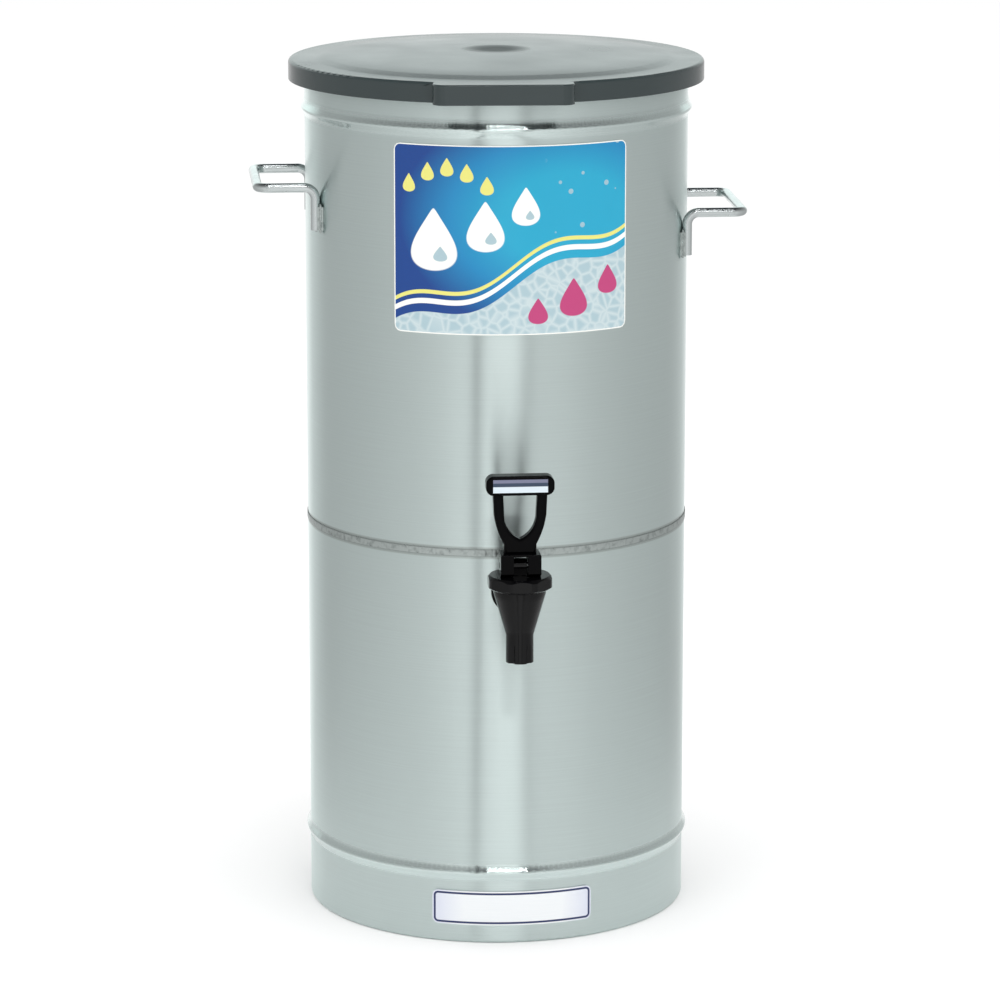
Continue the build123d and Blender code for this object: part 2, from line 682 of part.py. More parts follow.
def shank_nut():
    """Hexagonal nut on the shank, inside the tank."""
    hexagon = RegularPolygon(NUT_FLATS / 2, 6, major_radius=False) - Circle(SHANK_R)
    return Pos(0, -NUT_FACE, SHANK_Z) * Rot(-90, 0, 0) * extrude(hexagon, NUT_THICK)


def build_parts():
    """Every piece of the dispenser by name."""
    return {
        "tank_shell": tank_shell(),
        "skirt_shell": skirt_shell(),
        "tank_bottom": tank_bottom(),
        "seam_weld": seam_weld(),
        "back_seam_weld": back_seam_weld(),
        "left_handle": carrying_handle(-1, LEFT_ARM_Z),
        "right_handle": carrying_handle(1, RIGHT_ARM_Z),
        "left_handle_welds": leg_welds(-1, LEFT_ARM_Z),
        "right_handle_welds": leg_welds(1, RIGHT_ARM_Z),
        "front_label": wrapped_sheet(LABEL_WIDTH, LABEL_HEIGHT, LABEL_Z, LABEL_CORNER_R, LABEL_SHEET),
        "base_badge": wrapped_sheet(BADGE_WIDTH, BADGE_HEIGHT, BADGE_Z, BADGE_CORNER_R, BADGE_SHEET),
        "lid": lid(),
        "tap_body": tap_body(),
        "tap_bonnet": tap_bonnet(),
        "valve_stem": valve_stem(),
        "seat_cup": seat_cup(),
        "valve_spring": valve_spring(),
        "tap_handle": tap_handle(),
        "handle_pin": handle_pin(),
        "name_strip": name_strip(),
        "outer_shank_washer": outer_washer(),
        "inner_shank_washer": inner_washer(),
        "shank_nut": shank_nut(),
    }


os.makedirs("parts", exist_ok=True)
for name, shape in build_parts().items():
    export_step(shape, f"parts/{name}.step")
    print(name, len(shape.solids()), "solids", round(shape.volume), "mm3")
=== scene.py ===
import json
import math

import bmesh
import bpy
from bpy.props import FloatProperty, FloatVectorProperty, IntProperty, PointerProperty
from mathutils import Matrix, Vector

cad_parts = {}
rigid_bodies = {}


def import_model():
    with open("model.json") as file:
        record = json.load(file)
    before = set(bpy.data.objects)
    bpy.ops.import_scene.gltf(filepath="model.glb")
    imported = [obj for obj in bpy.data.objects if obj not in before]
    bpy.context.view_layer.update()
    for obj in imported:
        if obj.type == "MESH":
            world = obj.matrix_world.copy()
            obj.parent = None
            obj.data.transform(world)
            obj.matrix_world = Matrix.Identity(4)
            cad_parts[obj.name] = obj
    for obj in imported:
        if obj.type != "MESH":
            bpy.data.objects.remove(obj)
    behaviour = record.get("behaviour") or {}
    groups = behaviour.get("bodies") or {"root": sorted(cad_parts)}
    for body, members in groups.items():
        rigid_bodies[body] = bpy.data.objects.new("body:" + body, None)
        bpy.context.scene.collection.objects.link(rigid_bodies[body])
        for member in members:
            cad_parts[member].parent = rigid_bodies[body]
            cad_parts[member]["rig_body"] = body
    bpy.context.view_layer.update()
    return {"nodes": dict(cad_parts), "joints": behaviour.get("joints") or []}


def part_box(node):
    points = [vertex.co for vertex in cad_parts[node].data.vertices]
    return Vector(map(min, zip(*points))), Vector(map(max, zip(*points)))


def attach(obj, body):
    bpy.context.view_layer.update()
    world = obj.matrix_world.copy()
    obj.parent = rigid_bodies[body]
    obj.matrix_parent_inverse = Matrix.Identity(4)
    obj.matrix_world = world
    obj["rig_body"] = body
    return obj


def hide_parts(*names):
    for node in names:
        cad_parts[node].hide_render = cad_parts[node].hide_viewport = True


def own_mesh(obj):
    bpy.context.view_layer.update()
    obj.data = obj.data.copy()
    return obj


bl_info = {
    "name": "Iced Tea Dispenser",
    "version": (1, 0, 0),
    "blender": (4, 5, 0),
    "location": "View3D > Sidebar > Dispenser",
    "description": "Dresses the steel tea dispenser: shells, welds, wire handles, lid, decal, badge and tap",
    "category": "Object",
}

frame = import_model()

MM = 0.001
WHITE = (1.0, 1.0, 1.0, 1.0)

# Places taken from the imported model, in metres
BODY_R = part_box("back_seam_weld")[0].y
SEAM_LOW, SEAM_HIGH = (corner.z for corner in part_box("seam_weld"))
SEAM_MIDDLE = (SEAM_LOW + SEAM_HIGH) / 2
SEAM_HALF = (SEAM_HIGH - SEAM_LOW) / 2
SPRING_LOW, SPRING_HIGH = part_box("valve_spring")
TAP_Y = next(joint["pos_m"][1] for joint in frame["joints"] if joint["name"] == "handle_tilt")

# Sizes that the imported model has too
WIRE_R = 3.175 * MM
BEAD_HEIGHTS = (48.5 * MM, 540.5 * MM)
SPRING_TURNS = 4.5
SPRING_WIRE_R = 0.6 * MM
LID_RIM_HEIGHT = 13.1 * MM
LID_BORDER_R = 135.0 * MM
LID_TURN = math.radians(-3.0)
PANEL_R = 116.0 * MM
DIMPLE_R = 18.0 * MM
DIMPLE_DEPTH = 0.8 * MM
TAB_WIDTH = 90.0 * MM
TAB_DROP = 1.9 * MM
TAB_EDGE_R = 1.2 * MM
LABEL_CORNER_R = 4.5 * MM
BADGE_CORNER_R = 4.0 * MM

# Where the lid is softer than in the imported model, and how near a point must lie to be moved
PANEL_FOOT_R = 119.5 * MM
DIMPLE_FLOOR_R = 7.0 * MM
NEAR = 0.1 * MM

# Mark of the mould's gate in the lid's middle
GATE_R = 24.0 * MM
GATE_FADE = 14.0 * MM
GATE_ROUGHNESS = 0.53

# Half height of the burnished band on a bead, and where it has run out
BURNISHED = 4.0 * MM
BURNISH_END = 6.0 * MM

# Weld ripples: points on the ring's path, how deep the paths lie under the welds' faces, and sizes at the
# back and in the fillets of the handles' legs
RING_STEPS = 720
RIPPLE_SINK = 0.03 * MM
BACK_WELD_WIDTH = 3.0 * MM
LEG_RIPPLE_WIDTH = 3.0 * MM
LEG_RIPPLE_HEIGHT = 1.2 * MM
LEG_FILLET_R = BODY_R + 1.15 * MM
LEG_FILLET_SIDE = 3.65 * MM

# Decal: place from its middle, and half width and half height, of each drop in millimetres
LARGE_DROPS = (((-52.0, 0.0), (18.0, 20.5)), ((-18.0, 9.0), (14.0, 16.5)), ((8.0, 22.0), (10.5, 12.5)))
PINK_DROPS = (((16.0, -46.0), (7.5, 8.5)), ((40.0, -38.0), (11.0, 12.5)), ((65.0, -28.0), (8.5, 9.5)))

# Soft edge of the printed lines, and how thick the decal and the badge are
PRINT_BLUR = 0.1 * MM
LABEL_THICK = 0.3 * MM
BADGE_THICK = 0.6 * MM

# Name strip: where its painted dark and grey reflection bands start, as shares of its height
REFLECTION_DARK_BAND = 0.46
REFLECTION_GREY_BAND = 0.74

# Room that gloss mirrors: level at each turn from straight ahead, in degrees
ROOM_TOP = 1.15
ROOM_LEVELS = (
    (-180, 1.15), (-166, 1.1), (-154, 0.66), (-130, 0.55), (-90, 0.65), (-56, 0.77), (-38, 0.88),
    (-24, 1.03), (-19, 0.98), (-18, 0.35), (-15, 0.35), (-14, 0.98), (-8, 1.04), (2, 1.1), (9, 1.06),
    (12, 0.6), (16, 0.68), (20, 0.9), (38, 0.84), (56, 0.73), (84, 0.63), (126, 0.54), (150, 0.62),
    (162, 1.05), (180, 1.15),
)

# White sweep behind the dispenser, and black flag overhead with its place sideways
SWEEP = (1.17, 1.29, 1.27, 1.0)
FLAG = (0.01, 0.01, 0.02, 1.0)
FLAG_X = 0.055

# Name, place, width and height in metres, and share of the lamps' level
LAMPS = (
    ("left_lamp", (-1.6, -1.9, 1.7), 1.2, 1.2, 1.0),
    ("right_lamp", (1.9, -1.5, 1.3), 1.2, 1.2, 0.7),
    ("top_lamp", (0.0, -0.1, 2.4), 0.8, 0.8, 0.8),
    ("high_glint_lamp", (0.0, -0.45, 2.3), 0.6, 0.3, 0.8),
    ("front_glint_lamp", (0.24, -6.5, 6.05), 3.1, 0.4, 13.0),
)
LAMP_AIM = Vector((0.0, 0.0, 0.3))
FLOOR_HALF = 9.0
FLOOR_GAP = 0.2 * MM


def linear(code):
    """An sRGB hex colour, such as "#C8D0CF", as linear red, green, blue and alpha."""
    parts = [int(code[i:i + 2], 16) / 255 for i in (1, 3, 5)]
    return tuple(p / 12.92 if p <= 0.04045 else ((p + 0.055) / 1.055) ** 2.4 for p in parts) + (1.0,)


def colour_property(name, description, code):
    return FloatVectorProperty(name=name, description=description, subtype="COLOR", size=4,
                               min=0.0, max=1.0, default=linear(code))


def length_property(name, description, millimetres):
    return FloatProperty(name=name, description=description, subtype="DISTANCE", unit="LENGTH",
                         min=0.0, default=millimetres * MM)


def angle_property(name, description, degrees):
    return FloatProperty(name=name, description=description, subtype="ANGLE", default=math.radians(degrees))


class SteelSettings(bpy.types.PropertyGroup):
    """Sheet, wire and welds"""
    sheet: colour_property("Sheet", "Colour of the brushed sheet", "#D7E4E2")
    weld: colour_property("Weld", "Colour of the ground welds", "#B7BFBD")
    weld_edge: colour_property("Weld edge", "Heat tint along a weld's edges", "#9CA4A2")
    heat: colour_property("Heat tint", "Sheet dulled by heat beside the ring weld", "#BAC4C1")
    wire: colour_property("Wire", "Colour of the polished wire", "#C8CECE")
    grain_pitch: length_property("Grain pitch", "Spacing of the brush lines", 0.9)
    grain_length: length_property("Grain length", "Length of a brush line round the body", 70.0)
    grain_depth: length_property("Grain depth", "Depth of the brush lines", 0.035)
    bead_pitch: length_property("Bead pitch", "Step from one weld ripple to the next", 2.4)
    bead_relief: length_property("Bead relief", "How far a ripple of the seam stands out", 0.22)


class PlasticSettings(bpy.types.PropertyGroup):
    """Lid, tap and rubber"""
    lid: colour_property("Lid", "Colour of the lid's moulding", "#2A3435")
    tap: colour_property("Tap", "Colour of the tap's mouldings", "#040405")
    silicone: colour_property("Silicone", "Colour of the seat cup", "#C9C8C0")
    rubber: colour_property("Rubber", "Colour of the shank washers", "#1C1C1C")
    lid_grain: length_property("Lid grain", "Size of the fine texture in the lid's mould", 0.9)


class LabelSettings(bpy.types.PropertyGroup):
    """Printed decal"""
    deep: colour_property("Deep blue", "Outer end of the gradient", "#023E89")
    middle: colour_property("Middle blue", "Middle of the gradient", "#0E83B9")
    bright: colour_property("Bright blue", "Heart of the gradient", "#19A3C7")
    ice: colour_property("Ice", "Pale wave along the foot", "#A9C2CA")
    white: colour_property("White", "Large drops and border", "#F4F5F0")
    yellow: colour_property("Yellow", "Small drops and thin wave", "#E6E17C")
    pink: colour_property("Pink", "Drops in the pale wave", "#BE3F78")
    border: length_property("Border", "Width of the unprinted edge", 0.7)


class BadgeSettings(bpy.types.PropertyGroup):
    """Bare badge and name strip"""
    plate: colour_property("Plate", "Lacquered face of the badge", "#F1F3F4")
    # The name strip's three bands are painted reflection in its glossy film
    line: colour_property("Line", "Printed line round the badge", "#27315C")
    strip: colour_property("Strip", "Lower band of the name strip", "#DDE8EE")
    strip_dark: colour_property("Strip dark", "Middle band of the name strip", "#2F4056")
    strip_shade: colour_property("Strip shade", "Upper band of the name strip", "#787B92")
    line_inset: length_property("Line inset", "From the badge's edge to its line", 0.9)
    line_width: length_property("Line width", "Width of the badge's line", 1.3)


class StageSettings(bpy.types.PropertyGroup):
    """Camera and room"""
    azimuth: angle_property("Azimuth", "Camera's turn from straight ahead", -5.0)
    distance: length_property("Distance", "From the camera to the upright axis", 3000.0)
    height: length_property("Height", "Camera above the counter", 939.1)
    pitch: angle_property("Pitch", "How far the camera looks down", 12.54)
    yaw: angle_property("Yaw", "How far the camera looks past the axis", 0.048)
    lens: FloatProperty(name="Lens", description="Focal length", unit="CAMERA", default=163.84)
    sky: FloatProperty(name="Sky", description="Level of the light from all round", default=1.02)
    lamp: FloatProperty(name="Lamp", description="Level of the soft lamps", unit="POWER", default=5.0)
    floor_glow: FloatProperty(name="Floor glow", description="Light of the floor to the camera alone",
                              default=0.12)
    seed: IntProperty(name="Seed", description="Seed of the random steps", default=7)


# Settings that every node of a kind has here
USUAL = {"ShaderNodeMix": {"data_type": "RGBA"}}


def output(source):
    """A node's first output in use, and anything else as it is."""
    if isinstance(source, bpy.types.Node):
        return next(socket for socket in source.outputs if socket.enabled)
    return source


def add(tree, kind, inputs=None, **settings):
    """Adds a node with its settings and its kind's usual ones. An input is a value, a socket, or a node
    whose output it takes. From and To each stand for two inputs, their Min and Max."""
    node = tree.nodes.new(kind)
    for key, value in {**USUAL.get(kind, {}), **settings}.items():
        setattr(node, key, value)
    inputs = dict(inputs or {})
    for key in ("From", "To"):
        if key in inputs:
            inputs[key + " Min"], inputs[key + " Max"] = inputs.pop(key)
    for key, value in inputs.items():
        value = output(value)
        if isinstance(value, bpy.types.NodeSocket):
            tree.links.new(value, node.inputs[key])
        else:
            node.inputs[key].default_value = value
    return node


def surface(name, **sockets):
    """Starts a material from a Principled shader with these constant sockets."""
    material = bpy.data.materials.new(name)
    material.use_nodes = True
    shader = material.node_tree.nodes["Principled BSDF"]
    for key, value in sockets.items():
        shader.inputs[key.replace("_", " ")].default_value = value
    return material, material.node_tree, shader


def connect(tree, source, shader, socket):
    tree.links.new(output(source), shader.inputs[socket])


def away_from(tree, value, middle):
    """How far a value lies from a middle one, on either side."""
    off = add(tree, "ShaderNodeMath", {0: value, 1: middle}, operation="SUBTRACT")
    return add(tree, "ShaderNodeMath", {0: off}, operation="ABSOLUTE")


def turned(tree, coordinates):
    """The three coordinates, and their turn about the upright axis from straight ahead."""
    place = add(tree, "ShaderNodeTexCoord").outputs[coordinates]
    x, y, z = add(tree, "ShaderNodeSeparateXYZ", {0: place}).outputs
    ahead = add(tree, "ShaderNodeMath", {0: y, 1: -1.0}, operation="MULTIPLY")
    return x, y, z, add(tree, "ShaderNodeMath", {0: x, 1: ahead}, operation="ARCTAN2")


def grain_height(tree, along, across, length, pitch):
    """Noise drawn out along one direction, as the marks of a brushing belt are."""
    slow = add(tree, "ShaderNodeMath", {0: along, 1: length}, operation="DIVIDE")
    fast = add(tree, "ShaderNodeMath", {0: across, 1: pitch}, operation="DIVIDE")
    place = add(tree, "ShaderNodeCombineXYZ", {0: slow, 1: fast})
    return add(tree, "ShaderNodeTexNoise", {"Vector": place, "Scale": 1.0, "Detail": 1.0})


def uneven_gloss(tree, shader, scale, detail, roughness, bump, spread=(0.3, 0.7)):
    """Noise with about so many patches to a metre. It varies the roughness, and stands out as a bump of
    this strength and depth."""
    place = add(tree, "ShaderNodeTexCoord").outputs["Object"]
    noise = add(tree, "ShaderNodeTexNoise", {"Vector": place, "Scale": scale, "Detail": detail})
    rough = add(tree, "ShaderNodeMapRange", {"Value": noise, "From": spread, "To": roughness})
    connect(tree, rough, shader, "Roughness")
    relief = add(tree, "ShaderNodeBump", {"Strength": bump[0], "Distance": bump[1], "Height": noise})
    connect(tree, relief, shader, "Normal")
    return noise


def brushed_stainless(settings):
    """Rolled 304 stainless sheet, belt-brushed round the body to a satin finish.
    The marks lie level, so light spreads up and down in streaks and stays crisp from side to side."""
    material, tree, shader = surface("brushed_stainless_304", Base_Color=settings.sheet, Metallic=1.0,
                                     Roughness=0.3, Anisotropic=1.0, Anisotropic_Rotation=0.25)
    height, angle = turned(tree, "Object")[2:]
    arc = add(tree, "ShaderNodeMath", {0: angle, 1: BODY_R}, operation="MULTIPLY")
    fine = grain_height(tree, arc, height, settings.grain_length, settings.grain_pitch)
    # Handling and rolling leave soft clouds about 45 mm across
    cloud = grain_height(tree, arc, height, 60 * MM, 45 * MM)
    both = add(tree, "ShaderNodeMath", {0: fine, 1: cloud}, operation="ADD")
    spread = (0.6, 1.4)
    rough = add(tree, "ShaderNodeMapRange", {"Value": both, "From": spread, "To": (0.31, 0.36)})
    # The rollers that form the two beads burnish them
    for bead in BEAD_HEIGHTS:
        away = away_from(tree, height, bead)
        share = add(tree, "ShaderNodeMapRange", {
            "Value": away, "From": (BURNISHED, BURNISH_END), "To": (0.45, 1.0)})
        rough = add(tree, "ShaderNodeMath", {0: rough, 1: share}, operation="MULTIPLY")
    connect(tree, rough, shader, "Roughness")
    shade = add(tree, "ShaderNodeMapRange", {"Value": both, "From": spread, "To": (0.96, 1.03)})
    tone = add(tree, "ShaderNodeVectorMath", {0: settings.sheet[:3], "Scale": shade}, operation="SCALE")
    # Heat dulls the sheet for about a millimetre above and below the ring weld
    away = away_from(tree, height, SEAM_MIDDLE)
    beside = add(tree, "ShaderNodeMapRange", {
        "Value": away, "From": (SEAM_HALF + 0.7 * MM, SEAM_HALF + 1.6 * MM), "To": (1.0, 0.0)})
    tone = add(tree, "ShaderNodeMix", {"Factor": beside, "A": tone, "B": settings.heat})
    connect(tree, tone, shader, "Base Color")
    bump = add(tree, "ShaderNodeBump", {"Strength": 1.0, "Distance": settings.grain_depth, "Height": fine})
    connect(tree, bump, shader, "Normal")
    tangent = add(tree, "ShaderNodeTangent", direction_type="RADIAL", axis="Z")
    connect(tree, tangent, shader, "Tangent")
    return material


def ground_weld(settings):
    """Stainless weld run, ground nearly flush: duller than the sheet, with uneven tint from the heat."""
    material, tree, shader = surface("ground_stainless_weld", Base_Color=settings.weld, Metallic=1.0,
                                     Roughness=0.34)
    patch = uneven_gloss(tree, shader, 260.0, 4.0, roughness=(0.26, 0.44), bump=(0.5, 0.1 * MM))
    patchy = add(tree, "ShaderNodeMapRange", {"Value": patch, "From": (0.35, 0.55)})
    tint = add(tree, "ShaderNodeMix", {"Factor": patchy, "A": linear("#9BA3A1"), "B": settings.weld})
    # Two thin dark lines where the ring's edges meet the sheets
    place = add(tree, "ShaderNodeTexCoord").outputs["Object"]
    height = add(tree, "ShaderNodeSeparateXYZ", {0: place}).outputs["Z"]
    away = away_from(tree, height, SEAM_MIDDLE)
    near = add(tree, "ShaderNodeMapRange", {
        "Value": away, "From": (SEAM_HALF - 0.9 * MM, SEAM_HALF - 0.4 * MM)})
    in_ring = add(tree, "ShaderNodeMath", {0: away, 1: SEAM_HALF + 0.1 * MM}, operation="LESS_THAN")
    edge = add(tree, "ShaderNodeMath", {0: near, 1: in_ring}, operation="MULTIPLY")
    tint = add(tree, "ShaderNodeMix", {"Factor": edge, "A": tint, "B": settings.weld_edge})
    connect(tree, tint, shader, "Base Color")
    return material


def polished_wire(settings):
    """Drawn stainless wire, electropolished: bright and slightly uneven, with duller patches."""
    material, tree, shader = surface("electropolished_stainless_wire", Base_Color=settings.wire,
                                     Metallic=1.0, Roughness=0.2)
    uneven_gloss(tree, shader, 120.0, 3.0, roughness=(0.16, 0.28), bump=(0.15, 0.05 * MM))
    return material


def moulded_lid_plastic(settings):
    """Polypropylene, injection moulded with a fine spark-eroded texture: dark, satin, pale at a low angle."""
    material, tree, shader = surface("moulded_grey_polypropylene", Base_Color=settings.lid, Roughness=0.3,
                                     IOR=1.5)
    place = add(tree, "ShaderNodeTexCoord").outputs["Object"]
    texture = add(tree, "ShaderNodeTexNoise", {
        "Vector": place, "Scale": 1.0 / settings.lid_grain, "Detail": 3.0})
    scuff = add(tree, "ShaderNodeTexNoise", {"Vector": place, "Scale": 22.0, "Detail": 2.0})
    rough = add(tree, "ShaderNodeMapRange", {"Value": scuff, "To": (0.187, 0.303)})
    # The gate in the middle leaves a rough disc, which looks darker at a low angle
    level = add(tree, "ShaderNodeVectorMath", {0: place, 1: (1.0, 1.0, 0.0)}, operation="MULTIPLY")
    reach = add(tree, "ShaderNodeVectorMath", {0: level}, operation="LENGTH")
    rough = add(tree, "ShaderNodeMapRange", {
        "Value": reach, "From": (GATE_R - GATE_FADE, GATE_R), "To": (GATE_ROUGHNESS, rough)})
    connect(tree, rough, shader, "Roughness")
    tint = add(tree, "ShaderNodeMix", {"Factor": scuff, "A": settings.lid, "B": linear("#313B3C")})
    connect(tree, tint, shader, "Base Color")
    bump = add(tree, "ShaderNodeBump", {"Strength": 0.12, "Distance": 0.1 * MM, "Height": texture})
    connect(tree, bump, shader, "Normal")
    return material


def moulded_tap_plastic(name, settings, gloss):
    """Acetal, injection moulded in a polished tool: black and glossy, with a faint ripple and finger wear."""
    material, tree, shader = surface(name, Base_Color=settings.tap, Roughness=0.08, IOR=1.48,
                                     Specular_IOR_Level=gloss)
    uneven_gloss(tree, shader, 140.0, 2.0, roughness=(0.06, 0.1), bump=(0.12, 0.08 * MM))
    return material


def soft_rubber(name, colour, roughness):
    """Moulded silicone or rubber: matte, with a slight bloom."""
    material, tree, shader = surface(name, Base_Color=colour, Roughness=roughness, IOR=1.42)
    uneven_gloss(tree, shader, 400.0, 4.0, roughness=(roughness - 0.08, roughness + 0.08),
                 bump=(0.2, 0.05 * MM), spread=(0.0, 1.0))
    return material


def printed_drop(tree, paint_below, uv, centre, size, paint):
    """Prints one drop, rounded below and pointed above, over what is printed already."""
    offset = add(tree, "ShaderNodeVectorMath", {0: uv, 1: (centre[0] * MM, centre[1] * MM, 0.0)},
                 operation="SUBTRACT")
    scaled = add(tree, "ShaderNodeVectorMath", {0: offset, 1: (size[0] * MM, size[1] * MM, 1.0)},
                 operation="DIVIDE")
    x, y = add(tree, "ShaderNodeSeparateXYZ", {0: scaled}).outputs[:2]
    waist = add(tree, "ShaderNodeMath", {0: y, 1: -0.55, 2: 0.75}, operation="MULTIPLY_ADD")
    wide = add(tree, "ShaderNodeMath", {0: x, 1: waist}, operation="DIVIDE")
    place = add(tree, "ShaderNodeCombineXYZ", {0: wide, 1: y})
    reach = add(tree, "ShaderNodeVectorMath", {0: place}, operation="LENGTH")
    inside = add(tree, "ShaderNodeMapRange", {"Value": reach, "From": (1.0, 0.96)})
    return add(tree, "ShaderNodeMix", {"Factor": inside, "A": paint_below, "B": paint})


def printed_bubbles(tree, paint_below, uv, x, gap_above, settings):
    """Prints small pale bubbles on the right of the gradient, clear of the waves."""
    cells = add(tree, "ShaderNodeTexVoronoi", {"Vector": uv, "Scale": 120.0, "Randomness": 0.7})
    small = add(tree, "ShaderNodeSeparateColor", {0: cells.outputs["Color"]})
    radius = add(tree, "ShaderNodeMapRange", {"Value": small, "From": (0.1, 1.0), "To": (0.0, 0.3)})
    over = add(tree, "ShaderNodeMath", {0: radius, 1: cells}, operation="SUBTRACT")
    dot = add(tree, "ShaderNodeMapRange", {"Value": over, "From": (0.0, 0.02)})
    right = add(tree, "ShaderNodeMapRange", {"Value": x, "From": (20.0 * MM, 32.0 * MM), "To": (0.0, 0.8)})
    clear = add(tree, "ShaderNodeMapRange", {"Value": gap_above, "From": (16.0 * MM, 18.0 * MM)})
    share = add(tree, "ShaderNodeMath", {0: dot, 1: right}, operation="MULTIPLY")
    share = add(tree, "ShaderNodeMath", {0: share, 1: clear}, operation="MULTIPLY")
    return add(tree, "ShaderNodeMix", {"Factor": share, "A": paint_below, "B": settings.ice})


def wave_line(tree, x, base, slope, swell, wavelength):
    """Height of a rising wave over the decal at each place across it."""
    turn = add(tree, "ShaderNodeMath", {0: x, 1: 2 * math.pi / (wavelength * MM)}, operation="MULTIPLY")
    sine = add(tree, "ShaderNodeMath", {0: turn}, operation="SINE")
    rise = add(tree, "ShaderNodeMath", {0: x, 1: slope, 2: base * MM}, operation="MULTIPLY_ADD")
    return add(tree, "ShaderNodeMath", {0: sine, 1: swell * MM, 2: rise}, operation="MULTIPLY_ADD")


def printed_label(settings, half_width, half_height, corner):
    """Screen-printed vinyl decal under a satin clear film: a blue gradient with waves and drops."""
    material, tree, shader = surface("printed_vinyl_decal", Roughness=0.3, IOR=1.5)
    uv = add(tree, "ShaderNodeUVMap", uv_map="size")
    x, y = add(tree, "ShaderNodeSeparateXYZ", {0: uv}).outputs[:2]
    # The gradient spreads from a bright heart right of the middle, wider than it is high
    from_heart = add(tree, "ShaderNodeVectorMath", {0: uv, 1: (36.0 * MM, 14.0 * MM, 0.0)},
                     operation="SUBTRACT")
    oval = add(tree, "ShaderNodeVectorMath", {0: from_heart, 1: (1.0, 1.5, 0.0)}, operation="MULTIPLY")
    reach = add(tree, "ShaderNodeVectorMath", {0: oval}, operation="LENGTH")
    way = add(tree, "ShaderNodeMapRange", {"Value": reach, "From": (44.0 * MM, 112.0 * MM)})
    paint = add(tree, "ShaderNodeValToRGB", {0: way})
    paint.color_ramp.elements[0].color = settings.bright
    paint.color_ramp.elements[1].color = settings.deep
    paint.color_ramp.elements.new(0.5).color = settings.middle
    wave = wave_line(tree, x, -30.0, 0.36, 6.5, 96.0)
    gap_above = add(tree, "ShaderNodeMath", {0: y, 1: wave}, operation="SUBTRACT")
    for rise, width, colour in ((13.0, 2.4, settings.yellow), (7.0, 3.2, settings.white)):
        above = add(tree, "ShaderNodeMath", {0: wave, 1: rise * MM}, operation="ADD")
        half = width * MM / 2
        line = add(tree, "ShaderNodeMapRange", {
            "Value": away_from(tree, y, above), "From": (half + 2 * PRINT_BLUR, half)})
        paint = add(tree, "ShaderNodeMix", {"Factor": line, "A": paint, "B": colour})
    # Frost in the pale wave: cells about 7 mm across with paler edges
    frost = add(tree, "ShaderNodeTexVoronoi", {"Vector": uv, "Scale": 140.0}, feature="DISTANCE_TO_EDGE")
    clear = add(tree, "ShaderNodeMapRange", {"Value": frost, "From": (0.0, 0.22), "To": (0.15, 1.0)})
    ice = add(tree, "ShaderNodeMix", {"Factor": clear, "A": linear("#CCD9DB"), "B": settings.ice})
    depth = add(tree, "ShaderNodeMath", {0: wave, 1: y}, operation="SUBTRACT")
    below = add(tree, "ShaderNodeMapRange", {"Value": depth, "From": (0.0, 0.25 * MM)})
    paint = add(tree, "ShaderNodeMix", {"Factor": below, "A": paint, "B": ice})
    paint = printed_bubbles(tree, paint, uv, x, gap_above, settings)
    for centre, size in LARGE_DROPS:
        paint = printed_drop(tree, paint, uv, centre, size, settings.white)
        inner = (centre[0] + 0.25 * size[0], centre[1] - 0.45 * size[1])
        paint = printed_drop(tree, paint, uv, inner, (0.3 * size[0], 0.24 * size[1]), settings.ice)
    for step in range(5):
        centre = (-69.0 + 13.0 * step, 36.0 + 11.0 * math.sin(0.8 * step))
        paint = printed_drop(tree, paint, uv, centre, (5.0, 6.0), settings.yellow)
    for centre, size in PINK_DROPS:
        paint = printed_drop(tree, paint, uv, centre, size, settings.pink)
    edge = frame_distance(tree, uv, half_width, half_height, corner)
    rim = add(tree, "ShaderNodeMapRange", {
        "Value": edge, "From": (-settings.border - PRINT_BLUR, -settings.border)})
    paint = add(tree, "ShaderNodeMix", {"Factor": rim, "A": paint, "B": settings.white})
    connect(tree, paint, shader, "Base Color")
    grain = add(tree, "ShaderNodeTexNoise", {"Vector": uv, "Scale": 60.0, "Detail": 2.0})
    bump = add(tree, "ShaderNodeBump", {"Strength": 0.1, "Distance": 0.1 * MM, "Height": grain})
    connect(tree, bump, shader, "Normal")
    return material


def frame_distance(tree, uv, half_width, half_height, corner):
    """Distance from a rounded rectangle's edge, more than nothing outside it."""
    spread = add(tree, "ShaderNodeVectorMath", {0: uv}, operation="ABSOLUTE")
    core = (half_width - corner, half_height - corner, 1.0)
    over = add(tree, "ShaderNodeVectorMath", {0: spread, 1: core}, operation="SUBTRACT")
    kept = add(tree, "ShaderNodeVectorMath", {0: over, 1: (0.0, 0.0, 0.0)}, operation="MAXIMUM")
    reach = add(tree, "ShaderNodeVectorMath", {0: kept}, operation="LENGTH")
    return add(tree, "ShaderNodeMath", {0: reach, 1: corner}, operation="SUBTRACT")


